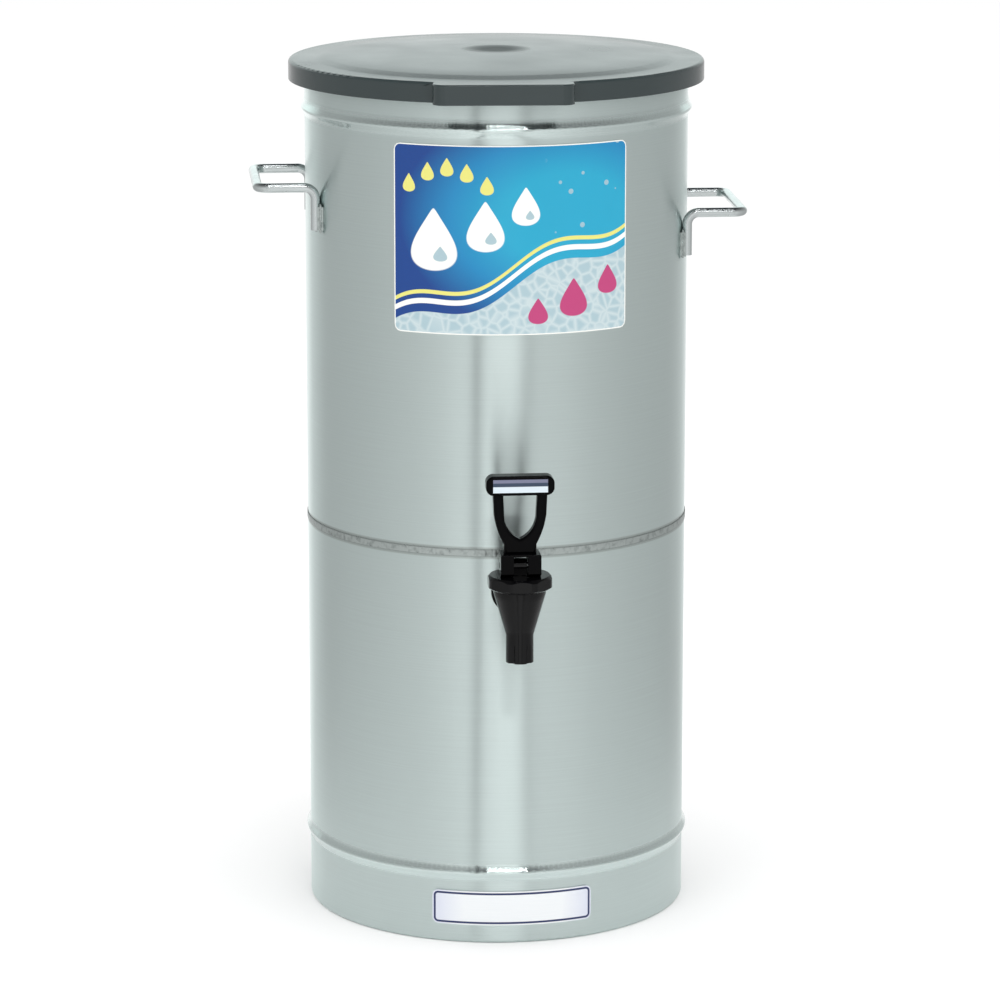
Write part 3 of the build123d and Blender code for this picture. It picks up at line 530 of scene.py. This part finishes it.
def badge_enamel(settings, half_width, half_height, corner):
    """Satin aluminium plate, lacquered pale and left bare inside one printed line, with painted shade at its
    ends.
    """
    material, tree, shader = surface("lacquered_aluminium_badge", Roughness=0.34, IOR=1.5)
    uv = add(tree, "ShaderNodeUVMap", uv_map="size")
    edge = frame_distance(tree, uv, half_width, half_height, corner)
    half = settings.line_width / 2
    away = away_from(tree, edge, -settings.line_inset - half)
    line = add(tree, "ShaderNodeMapRange", {"Value": away, "From": (half + PRINT_BLUR, half)})
    brush = add(tree, "ShaderNodeMapping", {"Vector": uv, "Scale": (30.0, 2500.0, 1.0)})
    streak = add(tree, "ShaderNodeTexNoise", {"Vector": brush, "Scale": 1.0, "Detail": 2.0})
    plate = add(tree, "ShaderNodeMix", {"Factor": streak, "A": linear("#E6EAED"), "B": settings.plate})
    # Painted shade: the plate's ends, which turn away from the light, are painted a little bluer
    across = add(tree, "ShaderNodeSeparateXYZ", {0: uv}).outputs["X"]
    reach = add(tree, "ShaderNodeMath", {0: across}, operation="ABSOLUTE")
    ends = add(tree, "ShaderNodeMapRange", {"Value": reach, "From": (0.6 * half_width, half_width)})
    plate = add(tree, "ShaderNodeMix", {"Factor": ends, "A": plate, "B": linear("#D5D9E8")})
    paint = add(tree, "ShaderNodeMix", {"Factor": line, "A": plate, "B": settings.line})
    connect(tree, paint, shader, "Base Color")
    bump = add(tree, "ShaderNodeBump", {"Strength": 0.2, "Distance": 0.05 * MM, "Height": line})
    connect(tree, bump, shader, "Normal")
    return material


def strip_film(settings):
    """Polyester strip in the handle's bar, with three plain bands of painted reflection: grey, dark and pale.
    """
    material, tree, shader = surface("bare_polyester_strip", Base_Color=settings.strip, Roughness=0.3,
                                     IOR=1.5)
    place = add(tree, "ShaderNodeTexCoord").outputs["Object"]
    haze = add(tree, "ShaderNodeTexNoise", {"Vector": place, "Scale": 180.0, "Detail": 3.0})
    pale = add(tree, "ShaderNodeMix", {"Factor": haze, "A": linear("#E2E6EE"), "B": WHITE})
    height = add(tree, "ShaderNodeSeparateXYZ", {0: place}).outputs["Z"]
    ends = [corner.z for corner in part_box("name_strip")]
    # The bands are painted reflection: pale below, dark in the middle, grey above
    share = add(tree, "ShaderNodeMapRange", {"Value": height, "From": ends})
    reflection_bands = add(tree, "ShaderNodeValToRGB", {0: share})
    reflection_bands.color_ramp.interpolation = "CONSTANT"
    reflection_bands.color_ramp.elements[0].color = settings.strip
    reflection_bands.color_ramp.elements[1].color = settings.strip_shade
    reflection_bands.color_ramp.elements[1].position = REFLECTION_GREY_BAND
    reflection_bands.color_ramp.elements.new(REFLECTION_DARK_BAND).color = settings.strip_dark
    tint = add(tree, "ShaderNodeMix", {"Factor": haze, "A": reflection_bands, "B": pale}, blend_type="MULTIPLY")
    connect(tree, tint, shader, "Base Color")
    return material


def merge_doubled(mesh):
    """Merges the points of a mesh that lie in one place."""
    shape = bmesh.new()
    shape.from_mesh(mesh)
    bmesh.ops.remove_doubles(shape, verts=shape.verts, dist=0.001 * MM)
    shape.to_mesh(mesh)
    shape.free()
    return mesh


def merged_copy(node, name):
    """A copy of a CAD node's mesh with its doubled points merged."""
    source = frame["nodes"][node].data
    mesh = bpy.data.meshes.new(name)
    faces = [tuple(face.vertices) for face in source.polygons]
    mesh.from_pydata([point.co for point in source.vertices], [], faces)
    return merge_doubled(mesh)


def in_scene(name, data):
    """A new object in the scene."""
    thing = bpy.data.objects.new(name, data)
    bpy.context.scene.collection.objects.link(thing)
    return thing


def place_piece(name, mesh, body, material, sharp=30.0):
    """Puts a finished mesh in the scene as a piece that moves with a body."""
    piece = in_scene(name, mesh)
    mesh.materials.clear()
    mesh.materials.append(material)
    mesh.shade_smooth()
    mesh.set_sharp_from_angle(angle=math.radians(sharp))
    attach(piece, body)
    return piece


def dress(node, name, material, sharp=30.0):
    """Replaces a CAD node by a merged copy of itself with a finished surface."""
    body = frame["nodes"][node]["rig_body"]
    piece = place_piece(name, merged_copy(node, name), body, material, sharp)
    piece.modifiers.new("steady_normals", "WEIGHTED_NORMAL").keep_sharp = True
    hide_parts(node)
    return piece


def wrapped_plate(node, name, corner, thick, finish, settings):
    """Replaces a node on the front by a thin plate bent round the body, with a UV map in metres from
    its middle for its printed finish."""
    low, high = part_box(node)
    outer_r = -low.y
    half_width = math.asin(high.x / outer_r) * outer_r
    half_height = (high.z - low.z) / 2
    middle = (high.z + low.z) / 2
    columns, rows = 48, 24
    points, uvs, faces = [], [], []
    for layer_r in (outer_r, outer_r - thick):
        for i in range(rows + 1):
            height = -math.cos(math.pi * i / rows) * half_height
            over = max(0.0, abs(height) - (half_height - corner))
            reach = half_width - corner + math.sqrt(max(0.0, corner**2 - over**2))
            for j in range(columns + 1):
                across = reach * (2 * j / columns - 1)
                angle = across / outer_r
                points.append((layer_r * math.sin(angle), -layer_r * math.cos(angle), middle + height))
                uvs.append((across, height))
    width = columns + 1
    size = width * (rows + 1)
    for i in range(rows):
        for j in range(columns):
            a = i * width + j
            faces.append((a, a + 1, a + width + 1, a + width))
            faces.append((size + a, size + a + width, size + a + width + 1, size + a + 1))
    rim = list(range(width)) + [i * width + columns for i in range(1, rows + 1)]
    rim += [rows * width + j for j in range(columns - 1, -1, -1)]
    rim += [i * width for i in range(rows - 1, 0, -1)]
    for a, b in zip(rim, rim[1:] + rim[:1]):
        faces.append((a, size + a, size + b, b))
    mesh = bpy.data.meshes.new(name)
    mesh.from_pydata(points, [], faces)
    layer = mesh.uv_layers.new(name="size")
    for loop in mesh.loops:
        layer.data[loop.index].uv = uvs[loop.vertex_index]
    material = finish(settings, half_width, half_height, corner)
    piece = place_piece(name, merge_doubled(mesh), "dispenser", material)
    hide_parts(node)


def tree_with_inputs(name, **sizes):
    """A Geometry Nodes tree with a geometry input, named float inputs and a material input."""
    tree = bpy.data.node_groups.new(name, "GeometryNodeTree")
    new_socket = tree.interface.new_socket
    new_socket("Geometry", in_out="INPUT", socket_type="NodeSocketGeometry")
    for key, value in sizes.items():
        new_socket(key, in_out="INPUT", socket_type="NodeSocketFloat").default_value = value
    new_socket("Material", in_out="INPUT", socket_type="NodeSocketMaterial")
    new_socket("Geometry", in_out="OUTPUT", socket_type="NodeSocketGeometry")
    return tree, add(tree, "NodeGroupInput").outputs


def end_tree(tree, geometry, material):
    """Ends a tree in Realize Instances and Set Material."""
    real = add(tree, "GeometryNodeRealizeInstances", {0: geometry})
    painted = add(tree, "GeometryNodeSetMaterial", {"Geometry": real, "Material": material})
    add(tree, "NodeGroupOutput", {0: painted})
    return tree


def ripple_tree(seed):
    """Ripples of a weld: flattened drops laid along a path, flat side to the axis of the body."""
    tree, given = tree_with_inputs("weld_ripples", Pitch=2.4 * MM, Width=5.0 * MM, Relief=0.3 * MM)
    path = add(tree, "GeometryNodeResampleCurve", {"Curve": given["Geometry"], "Length": given["Pitch"]},
               mode="LENGTH")
    tangent = add(tree, "GeometryNodeInputTangent")
    place = add(tree, "GeometryNodeInputPosition")
    outward = add(tree, "ShaderNodeVectorMath", {0: place, 1: (1.0, 1.0, 0.0)}, operation="MULTIPLY")
    along = add(tree, "FunctionNodeAlignRotationToVector", {"Vector": tangent}, axis="X")
    turn = add(tree, "FunctionNodeAlignRotationToVector", {"Rotation": along, "Vector": outward},
               axis="Z", pivot_axis="X")
    drop = add(tree, "GeometryNodeMeshIcoSphere", {"Radius": 1.0, "Subdivisions": 2})
    half_long = add(tree, "ShaderNodeMath", {0: given["Pitch"], 1: 0.85}, operation="MULTIPLY")
    half_wide = add(tree, "ShaderNodeMath", {0: given["Width"], 1: 0.5}, operation="MULTIPLY")
    size = add(tree, "ShaderNodeCombineXYZ", {0: half_long, 1: half_wide, 2: given["Relief"]})
    uneven = add(tree, "FunctionNodeRandomValue", {
        "Min": (0.85, 0.9, 0.6), "Max": (1.1, 1.0, 1.0), "Seed": seed}, data_type="FLOAT_VECTOR")
    scale = add(tree, "ShaderNodeVectorMath", {0: size, 1: uneven}, operation="MULTIPLY")
    drops = add(tree, "GeometryNodeInstanceOnPoints", {
        "Points": path, "Instance": drop, "Rotation": turn, "Scale": scale})
    return end_tree(tree, drops, given["Material"])


def coil_tree():
    """A round wire wound in a coil."""
    tree, given = tree_with_inputs("coil", Radius=5.0 * MM, Height=16.0 * MM, Turns=SPRING_TURNS,
                                   Wire=SPRING_WIRE_R)
    line = add(tree, "GeometryNodeCurveSpiral", {
        "Resolution": 40, "Rotations": given["Turns"], "Start Radius": given["Radius"],
        "End Radius": given["Radius"], "Height": given["Height"]})
    ring = add(tree, "GeometryNodeCurvePrimitiveCircle", {"Resolution": 12, "Radius": given["Wire"]})
    wire = add(tree, "GeometryNodeCurveToMesh", {"Curve": line, "Profile Curve": ring, "Fill Caps": True})
    return end_tree(tree, wire, given["Material"])


def made_by(tree, name, source, material, **sizes):
    """Runs a Geometry Nodes tree on an object and returns the result as a plain mesh."""
    modifier = source.modifiers.new(name, "NODES")
    modifier.node_group = tree
    given = {"Material": material, **sizes}
    for item in tree.interface.items_tree:
        if item.in_out == "INPUT" and item.name in given:
            modifier[item.identifier] = given[item.name]
    finished = source.evaluated_get(bpy.context.evaluated_depsgraph_get())
    mesh = bpy.data.meshes.new_from_object(finished)
    mesh.name = name
    bpy.data.objects.remove(source)
    return mesh


def path_object(name, lines, closed):
    """A curve object of straight-edged paths for a tree to follow."""
    curve = bpy.data.curves.new(name, "CURVE")
    curve.dimensions = "3D"
    for line in lines:
        spline = curve.splines.new("POLY")
        spline.points.add(len(line) - 1)
        for point, place in zip(spline.points, line):
            point.co = (*place, 1.0)
        spline.use_cyclic_u = closed
    return in_scene(name, curve)


def joined_mesh(name, meshes):
    """Several meshes as one."""
    shape = bmesh.new()
    for mesh in meshes:
        shape.from_mesh(mesh)
    mesh = bpy.data.meshes.new(name)
    shape.to_mesh(mesh)
    shape.free()
    return mesh


class DISPENSER_OT_shells(bpy.types.Operator):
    """Rolled upper and lower shells, the pressed tank floor and the nut"""
    bl_idname = "dispenser.shells"
    bl_label = "Shells and tank floor"

    def execute(self, context):
        steel = brushed_stainless(context.scene.dispenser_steel)
        for node, name in (("tank_shell", "upper_shell_sheet"), ("skirt_shell", "lower_shell_sheet"),
                           ("tank_bottom", "tank_floor_pan"), ("shank_nut", "shank_nut_hexagon")):
            dress(node, name, steel)
        return {"FINISHED"}


class DISPENSER_OT_welds(bpy.types.Operator):
    """Rippled welds round the middle, up the back and beside the handles' legs"""
    bl_idname = "dispenser.welds"
    bl_label = "Welds"

    def execute(self, context):
        settings = context.scene.dispenser_steel
        weld = ground_weld(settings)
        tree = ripple_tree(context.scene.dispenser_stage.seed)
        relief = settings.bead_relief
        rows = {"seam_weld": (self.ring(), True, 2 * SEAM_HALF, relief),
                "back_seam_weld": (self.back_runs(), False, BACK_WELD_WIDTH, relief)}
        for node in ("left_handle_welds", "right_handle_welds"):
            rows[node] = (self.leg_runs(node), False, LEG_RIPPLE_WIDTH, LEG_RIPPLE_HEIGHT)
        for node, (lines, closed, width, relief) in rows.items():
            name = node + "_run"
            ripples = made_by(tree, name + "_ripples", path_object(name, lines, closed), weld,
                              Pitch=settings.bead_pitch, Width=width, Relief=relief)
            mesh = joined_mesh(name, [merged_copy(node, name), ripples])
            piece = place_piece(name, mesh, "dispenser", weld)
            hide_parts(node)
        return {"FINISHED"}

    def ring(self):
        """Path round the middle of the body, to be closed."""
        ring_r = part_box("seam_weld")[1].x - RIPPLE_SINK
        turns = [2 * math.pi * i / RING_STEPS for i in range(RING_STEPS)]
        return [[(ring_r * math.sin(turn), -ring_r * math.cos(turn), SEAM_MIDDLE) for turn in turns]]

    def back_runs(self):
        """The two upright welds at the back, under the ring and over it."""
        low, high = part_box("back_seam_weld")
        back_y = high.y - RIPPLE_SINK
        return [[(0.0, back_y, z) for z in run] for run in ((low.z, SEAM_LOW), (SEAM_HIGH, high.z))]

    def leg_runs(self, node):
        """Upright lines inside the four fillets between a handle's legs and the shell."""
        low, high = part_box(node)
        facing = 0.0 if low.x > 0 else math.pi
        leg_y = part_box(node.replace("_welds", ""))[1].y - WIRE_R
        turn = math.asin(leg_y / (BODY_R + WIRE_R))
        lines = []
        for leg in (facing - turn, facing + turn):
            for side in (-LEG_FILLET_SIDE, LEG_FILLET_SIDE):
                x = LEG_FILLET_R * math.cos(leg) - side * math.sin(leg)
                y = LEG_FILLET_R * math.sin(leg) + side * math.cos(leg)
                lines.append([(x, y, low.z), (x, y, high.z)])
        return lines


class DISPENSER_OT_handles(bpy.types.Operator):
    """Bent wire carrying handles"""
    bl_idname = "dispenser.handles"
    bl_label = "Carrying handles"

    def execute(self, context):
        wire = polished_wire(context.scene.dispenser_steel)
        for side in ("left", "right"):
            dress(f"{side}_handle", f"{side}_wire_handle", wire, sharp=50.0)
        return {"FINISHED"}


class DISPENSER_OT_plates(bpy.types.Operator):
    """Printed decal on the upper shell and bare badge on the base"""
    bl_idname = "dispenser.plates"
    bl_label = "Decal and badge"

    def execute(self, context):
        wrapped_plate("front_label", "decal_film", LABEL_CORNER_R, LABEL_THICK,
                      printed_label, context.scene.dispenser_label)
        wrapped_plate("base_badge", "badge_face", BADGE_CORNER_R, BADGE_THICK,
                      badge_enamel, context.scene.dispenser_badge)
        return {"FINISHED"}


class DISPENSER_OT_lid(bpy.types.Operator):
    """Loose moulded lid"""
    bl_idname = "dispenser.lid"
    bl_label = "Lid"

    def execute(self, context):
        lid = dress("lid", "moulded_lid", moulded_lid_plastic(context.scene.dispenser_plastic), sharp=50.0)
        low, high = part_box("lid")
        foot = low.z + LID_RIM_HEIGHT
        for point in lid.data.vertices:
            x, y, z = point.co
            reach = math.hypot(x, y)
            # The step round the raised panel runs out softly into the border
            if abs(reach - PANEL_R) < NEAR and abs(z - foot) < NEAR:
                point.co.xy *= PANEL_FOOT_R / PANEL_R
            # The dimple is a shallow dish
            if abs(reach - DIMPLE_R) < NEAR and abs(high.z - DIMPLE_DEPTH - z) < NEAR:
                point.co.xy *= DIMPLE_FLOOR_R / DIMPLE_R
            # The finger tab's top comes up level with the border, its edge with it
            across = x * math.cos(LID_TURN) + y * math.sin(LID_TURN)
            if y < 0.0 and abs(across) < TAB_WIDTH / 2 + NEAR and reach > LID_BORDER_R + NEAR:
                if z > foot - TAB_DROP - TAB_EDGE_R - NEAR:
                    point.co.z = min(foot, z + TAB_DROP)
        return {"FINISHED"}


class DISPENSER_OT_tap(bpy.types.Operator):
    """Tap body, bonnet, stem, seat cup, handle, name strip and washers"""
    bl_idname = "dispenser.tap"
    bl_label = "Tap"

    def execute(self, context):
        settings = context.scene.dispenser_plastic
        black = moulded_tap_plastic("moulded_black_acetal", settings, 0.25)
        for node in ("tap_body", "tap_bonnet", "valve_stem"):
            dress(node, node + "_moulding", black)
        dress("tap_handle", "tap_lever_moulding", moulded_tap_plastic("moulded_jet_acetal", settings, 0.06))
        dress("name_strip", "bare_name_strip", strip_film(context.scene.dispenser_badge))
        dress("seat_cup", "silicone_seat_cup", soft_rubber("moulded_silicone", settings.silicone, 0.5))
        rubber = soft_rubber("moulded_black_rubber", settings.rubber, 0.65)
        for side in ("outer", "inner"):
            dress(f"{side}_shank_washer", f"{side}_rubber_washer", rubber)
        return {"FINISHED"}


class DISPENSER_OT_fastenings(bpy.types.Operator):
    """Valve spring and pivot pin"""
    bl_idname = "dispenser.fastenings"
    bl_label = "Spring and pin"

    def execute(self, context):
        steel = polished_wire(context.scene.dispenser_steel)
        steel.name = "drawn_spring_steel"
        dress("handle_pin", "pivot_pin", steel)
        height = SPRING_HIGH.z - SPRING_LOW.z
        seed = in_scene("spring_seed", bpy.data.meshes.new("spring_seed"))
        coil = made_by(coil_tree(), "valve_spring_coil", seed, steel, Radius=SPRING_HIGH.x - SPRING_WIRE_R,
                       Height=height - 2 * SPRING_WIRE_R, Turns=SPRING_TURNS, Wire=SPRING_WIRE_R)
        for point in coil.vertices:
            point.co += Vector((0.0, TAP_Y, SPRING_LOW.z + SPRING_WIRE_R))
        piece = place_piece("valve_spring_coil", coil, "dispenser", steel, sharp=60.0)
        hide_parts("valve_spring")
        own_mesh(piece)
        return {"FINISHED"}


class DISPENSER_OT_stage(bpy.types.Operator):
    """Pale floor, soft room light and the camera"""
    bl_idname = "dispenser.stage"
    bl_label = "Stage"

    def execute(self, context):
        settings = context.scene.dispenser_stage
        self.floor(settings)
        self.room(context, settings)
        self.lamps(settings)
        self.camera(context, settings)
        context.scene.view_settings.view_transform = "Standard"
        return {"FINISHED"}

    def floor(self, settings):
        """Matt white floor that the camera sees as white, with the shadow kept. Gloss mirrors only the
        part near the dispenser."""
        corners = ((-1, -1), (1, -1), (1, 1), (-1, 1))
        mesh = bpy.data.meshes.new("studio_floor")
        mesh.from_pydata([(x * FLOOR_HALF, y * FLOOR_HALF, -FLOOR_GAP) for x, y in corners], [],
                         [(0, 1, 2, 3)])
        material = bpy.data.materials.new("matt_white_floor")
        material.use_nodes = True
        tree = material.node_tree
        tree.nodes.clear()
        path = add(tree, "ShaderNodeLightPath").outputs
        paint = add(tree, "ShaderNodeBsdfDiffuse", {"Color": linear("#EDEDED")})
        level = add(tree, "ShaderNodeMath", {0: path["Is Camera Ray"], 1: settings.floor_glow},
                    operation="MULTIPLY")
        glow = add(tree, "ShaderNodeEmission", {"Color": WHITE, "Strength": level})
        both = add(tree, "ShaderNodeAddShader", {0: paint, 1: glow})
        clear = add(tree, "ShaderNodeBsdfTransparent")
        place = add(tree, "ShaderNodeTexCoord").outputs["Object"]
        reach = add(tree, "ShaderNodeVectorMath", {0: place}, operation="LENGTH")
        far = add(tree, "ShaderNodeMapRange", {"Value": reach, "From": (0.2, 0.5)})
        gloss = add(tree, "ShaderNodeMath", {0: path["Is Glossy Ray"], 1: far}, operation="MULTIPLY")
        seen = add(tree, "ShaderNodeMath", {0: gloss, 1: path["Is Transmission Ray"]}, operation="MAXIMUM")
        mixed = add(tree, "ShaderNodeMixShader", {0: seen, 1: both, 2: clear})
        add(tree, "ShaderNodeOutputMaterial", {0: mixed})
        mesh.materials.append(material)
        in_scene("studio_floor", mesh)

    def room(self, context, settings):
        """White to the camera, even light on matt surfaces, and for gloss a room that is bright in front
        and behind and greyer at the sides."""
        world = bpy.data.worlds.new("studio_room")
        context.scene.world = world
        world.use_nodes = True
        tree = world.node_tree
        tree.nodes.clear()
        x, y, z, angle = turned(tree, "Generated")
        share = add(tree, "ShaderNodeMath", {0: angle, 1: 0.5 / math.pi, 2: 0.5}, operation="MULTIPLY_ADD")
        ramp = add(tree, "ShaderNodeValToRGB", {0: share})
        band = ramp.color_ramp
        for i, (azimuth, level) in enumerate(ROOM_LEVELS):
            place = azimuth / 360 + 0.5
            stop = band.elements[i] if i < 2 else band.elements.new(place)
            stop.position = place
            stop.color = (level / ROOM_TOP, level / ROOM_TOP, level / ROOM_TOP, 1.0)
        # The room gets darker upwards, and a white sweep stands behind the dispenser
        upward = add(tree, "ShaderNodeMapRange", {"Value": z, "From": (0.05, 0.4), "To": (ROOM_TOP, 0.82)})
        around = add(tree, "ShaderNodeVectorMath", {0: ramp, "Scale": upward}, operation="SCALE")
        behind = add(tree, "ShaderNodeMapRange", {"Value": y, "From": (0.7, 0.93)})
        over = add(tree, "ShaderNodeMapRange", {"Value": z, "From": (0.0, 0.12)})
        sweep = add(tree, "ShaderNodeMath", {0: behind, 1: over}, operation="MULTIPLY")
        swept = add(tree, "ShaderNodeMix", {"Factor": sweep, "A": around, "B": SWEEP})
        overhead = add(tree, "ShaderNodeMapRange", {"Value": z, "From": (0.45, 0.8), "To": (1.0, 0.32)})
        dimmed = add(tree, "ShaderNodeVectorMath", {0: swept, "Scale": overhead}, operation="SCALE")
        # A black flag hangs overhead, and the bead under the lid mirrors it
        away = away_from(tree, x, FLAG_X)
        inside = add(tree, "ShaderNodeMapRange", {"Value": away, "From": (0.24, 0.42), "To": (1.0, 0.0)})
        high = add(tree, "ShaderNodeMapRange", {"Value": z, "From": (0.56, 0.66)})
        flag = add(tree, "ShaderNodeMath", {0: inside, 1: high}, operation="MULTIPLY")
        gloss = add(tree, "ShaderNodeMix", {"Factor": flag, "A": dimmed, "B": FLAG})
        path = add(tree, "ShaderNodeLightPath").outputs
        sky = (settings.sky, settings.sky, settings.sky, 1.0)
        lit = add(tree, "ShaderNodeMix", {"Factor": path["Is Glossy Ray"], "A": sky, "B": gloss})
        clear = add(tree, "ShaderNodeMath", {0: path["Is Camera Ray"], 1: path["Is Transmission Ray"]},
                    operation="MAXIMUM")
        seen = add(tree, "ShaderNodeMix", {"Factor": clear, "A": lit, "B": WHITE})
        add(tree, "ShaderNodeOutputWorld", {0: add(tree, "ShaderNodeBackground", {"Color": seen})})

    def lamps(self, settings):
        """Large soft lamps high on the left, on the right and above. Two that glint in gloss stand over
        the dispenser and far in front."""
        for name, place, width, height, share in LAMPS:
            light = bpy.data.lights.new(name, "AREA")
            light.shape = "RECTANGLE"
            light.size = width
            light.size_y = height
            light.energy = settings.lamp * share
            lamp = in_scene(name, light)
            lamp.location = place
            lamp.rotation_euler = (LAMP_AIM - lamp.location).to_track_quat("-Z", "Y").to_euler()
            lamp.visible_glossy = "glint" in name

    def camera(self, context, settings):
        """Camera at the photograph's angle, looking down a little, with no shift."""
        data = bpy.data.cameras.new("camera")
        data.sensor_width = 36.0
        data.lens = settings.lens
        camera = in_scene("camera", data)
        turn = settings.azimuth
        camera.location = (settings.distance * math.sin(turn), -settings.distance * math.cos(turn),
                           settings.height)
        camera.rotation_euler = (math.pi / 2 - settings.pitch, 0.0, turn - settings.yaw)
        context.scene.camera = camera


SETTINGS = {
    "dispenser_steel": SteelSettings,
    "dispenser_plastic": PlasticSettings,
    "dispenser_label": LabelSettings,
    "dispenser_badge": BadgeSettings,
    "dispenser_stage": StageSettings,
}
OPERATORS = (
    DISPENSER_OT_shells,
    DISPENSER_OT_welds,
    DISPENSER_OT_handles,
    DISPENSER_OT_plates,
    DISPENSER_OT_lid,
    DISPENSER_OT_tap,
    DISPENSER_OT_fastenings,
    DISPENSER_OT_stage,
)


class DISPENSER_PT_panel(bpy.types.Panel):
    """Lists the steps that dress the dispenser"""
    bl_idname = "DISPENSER_PT_panel"
    bl_label = "Iced tea dispenser"
    bl_space_type = "VIEW_3D"
    bl_region_type = "UI"
    bl_category = "Dispenser"

    def draw(self, context):
        for operator in OPERATORS:
            self.layout.operator(operator.bl_idname)
        for name, group in SETTINGS.items():
            box = self.layout.box()
            for key in group.__annotations__:
                box.prop(getattr(context.scene, name), key)


def register():
    for group in (*SETTINGS.values(), *OPERATORS, DISPENSER_PT_panel):
        bpy.utils.register_class(group)
    for name, group in SETTINGS.items():
        setattr(bpy.types.Scene, name, PointerProperty(type=group))


def unregister():
    for name in SETTINGS:
        delattr(bpy.types.Scene, name)
    for group in (DISPENSER_PT_panel, *reversed(OPERATORS), *SETTINGS.values()):
        bpy.utils.unregister_class(group)


def main():
    register()
    for operator in OPERATORS:
        group, name = operator.bl_idname.split(".")
        getattr(getattr(bpy.ops, group), name)()


if __name__ == "__main__":
    main()
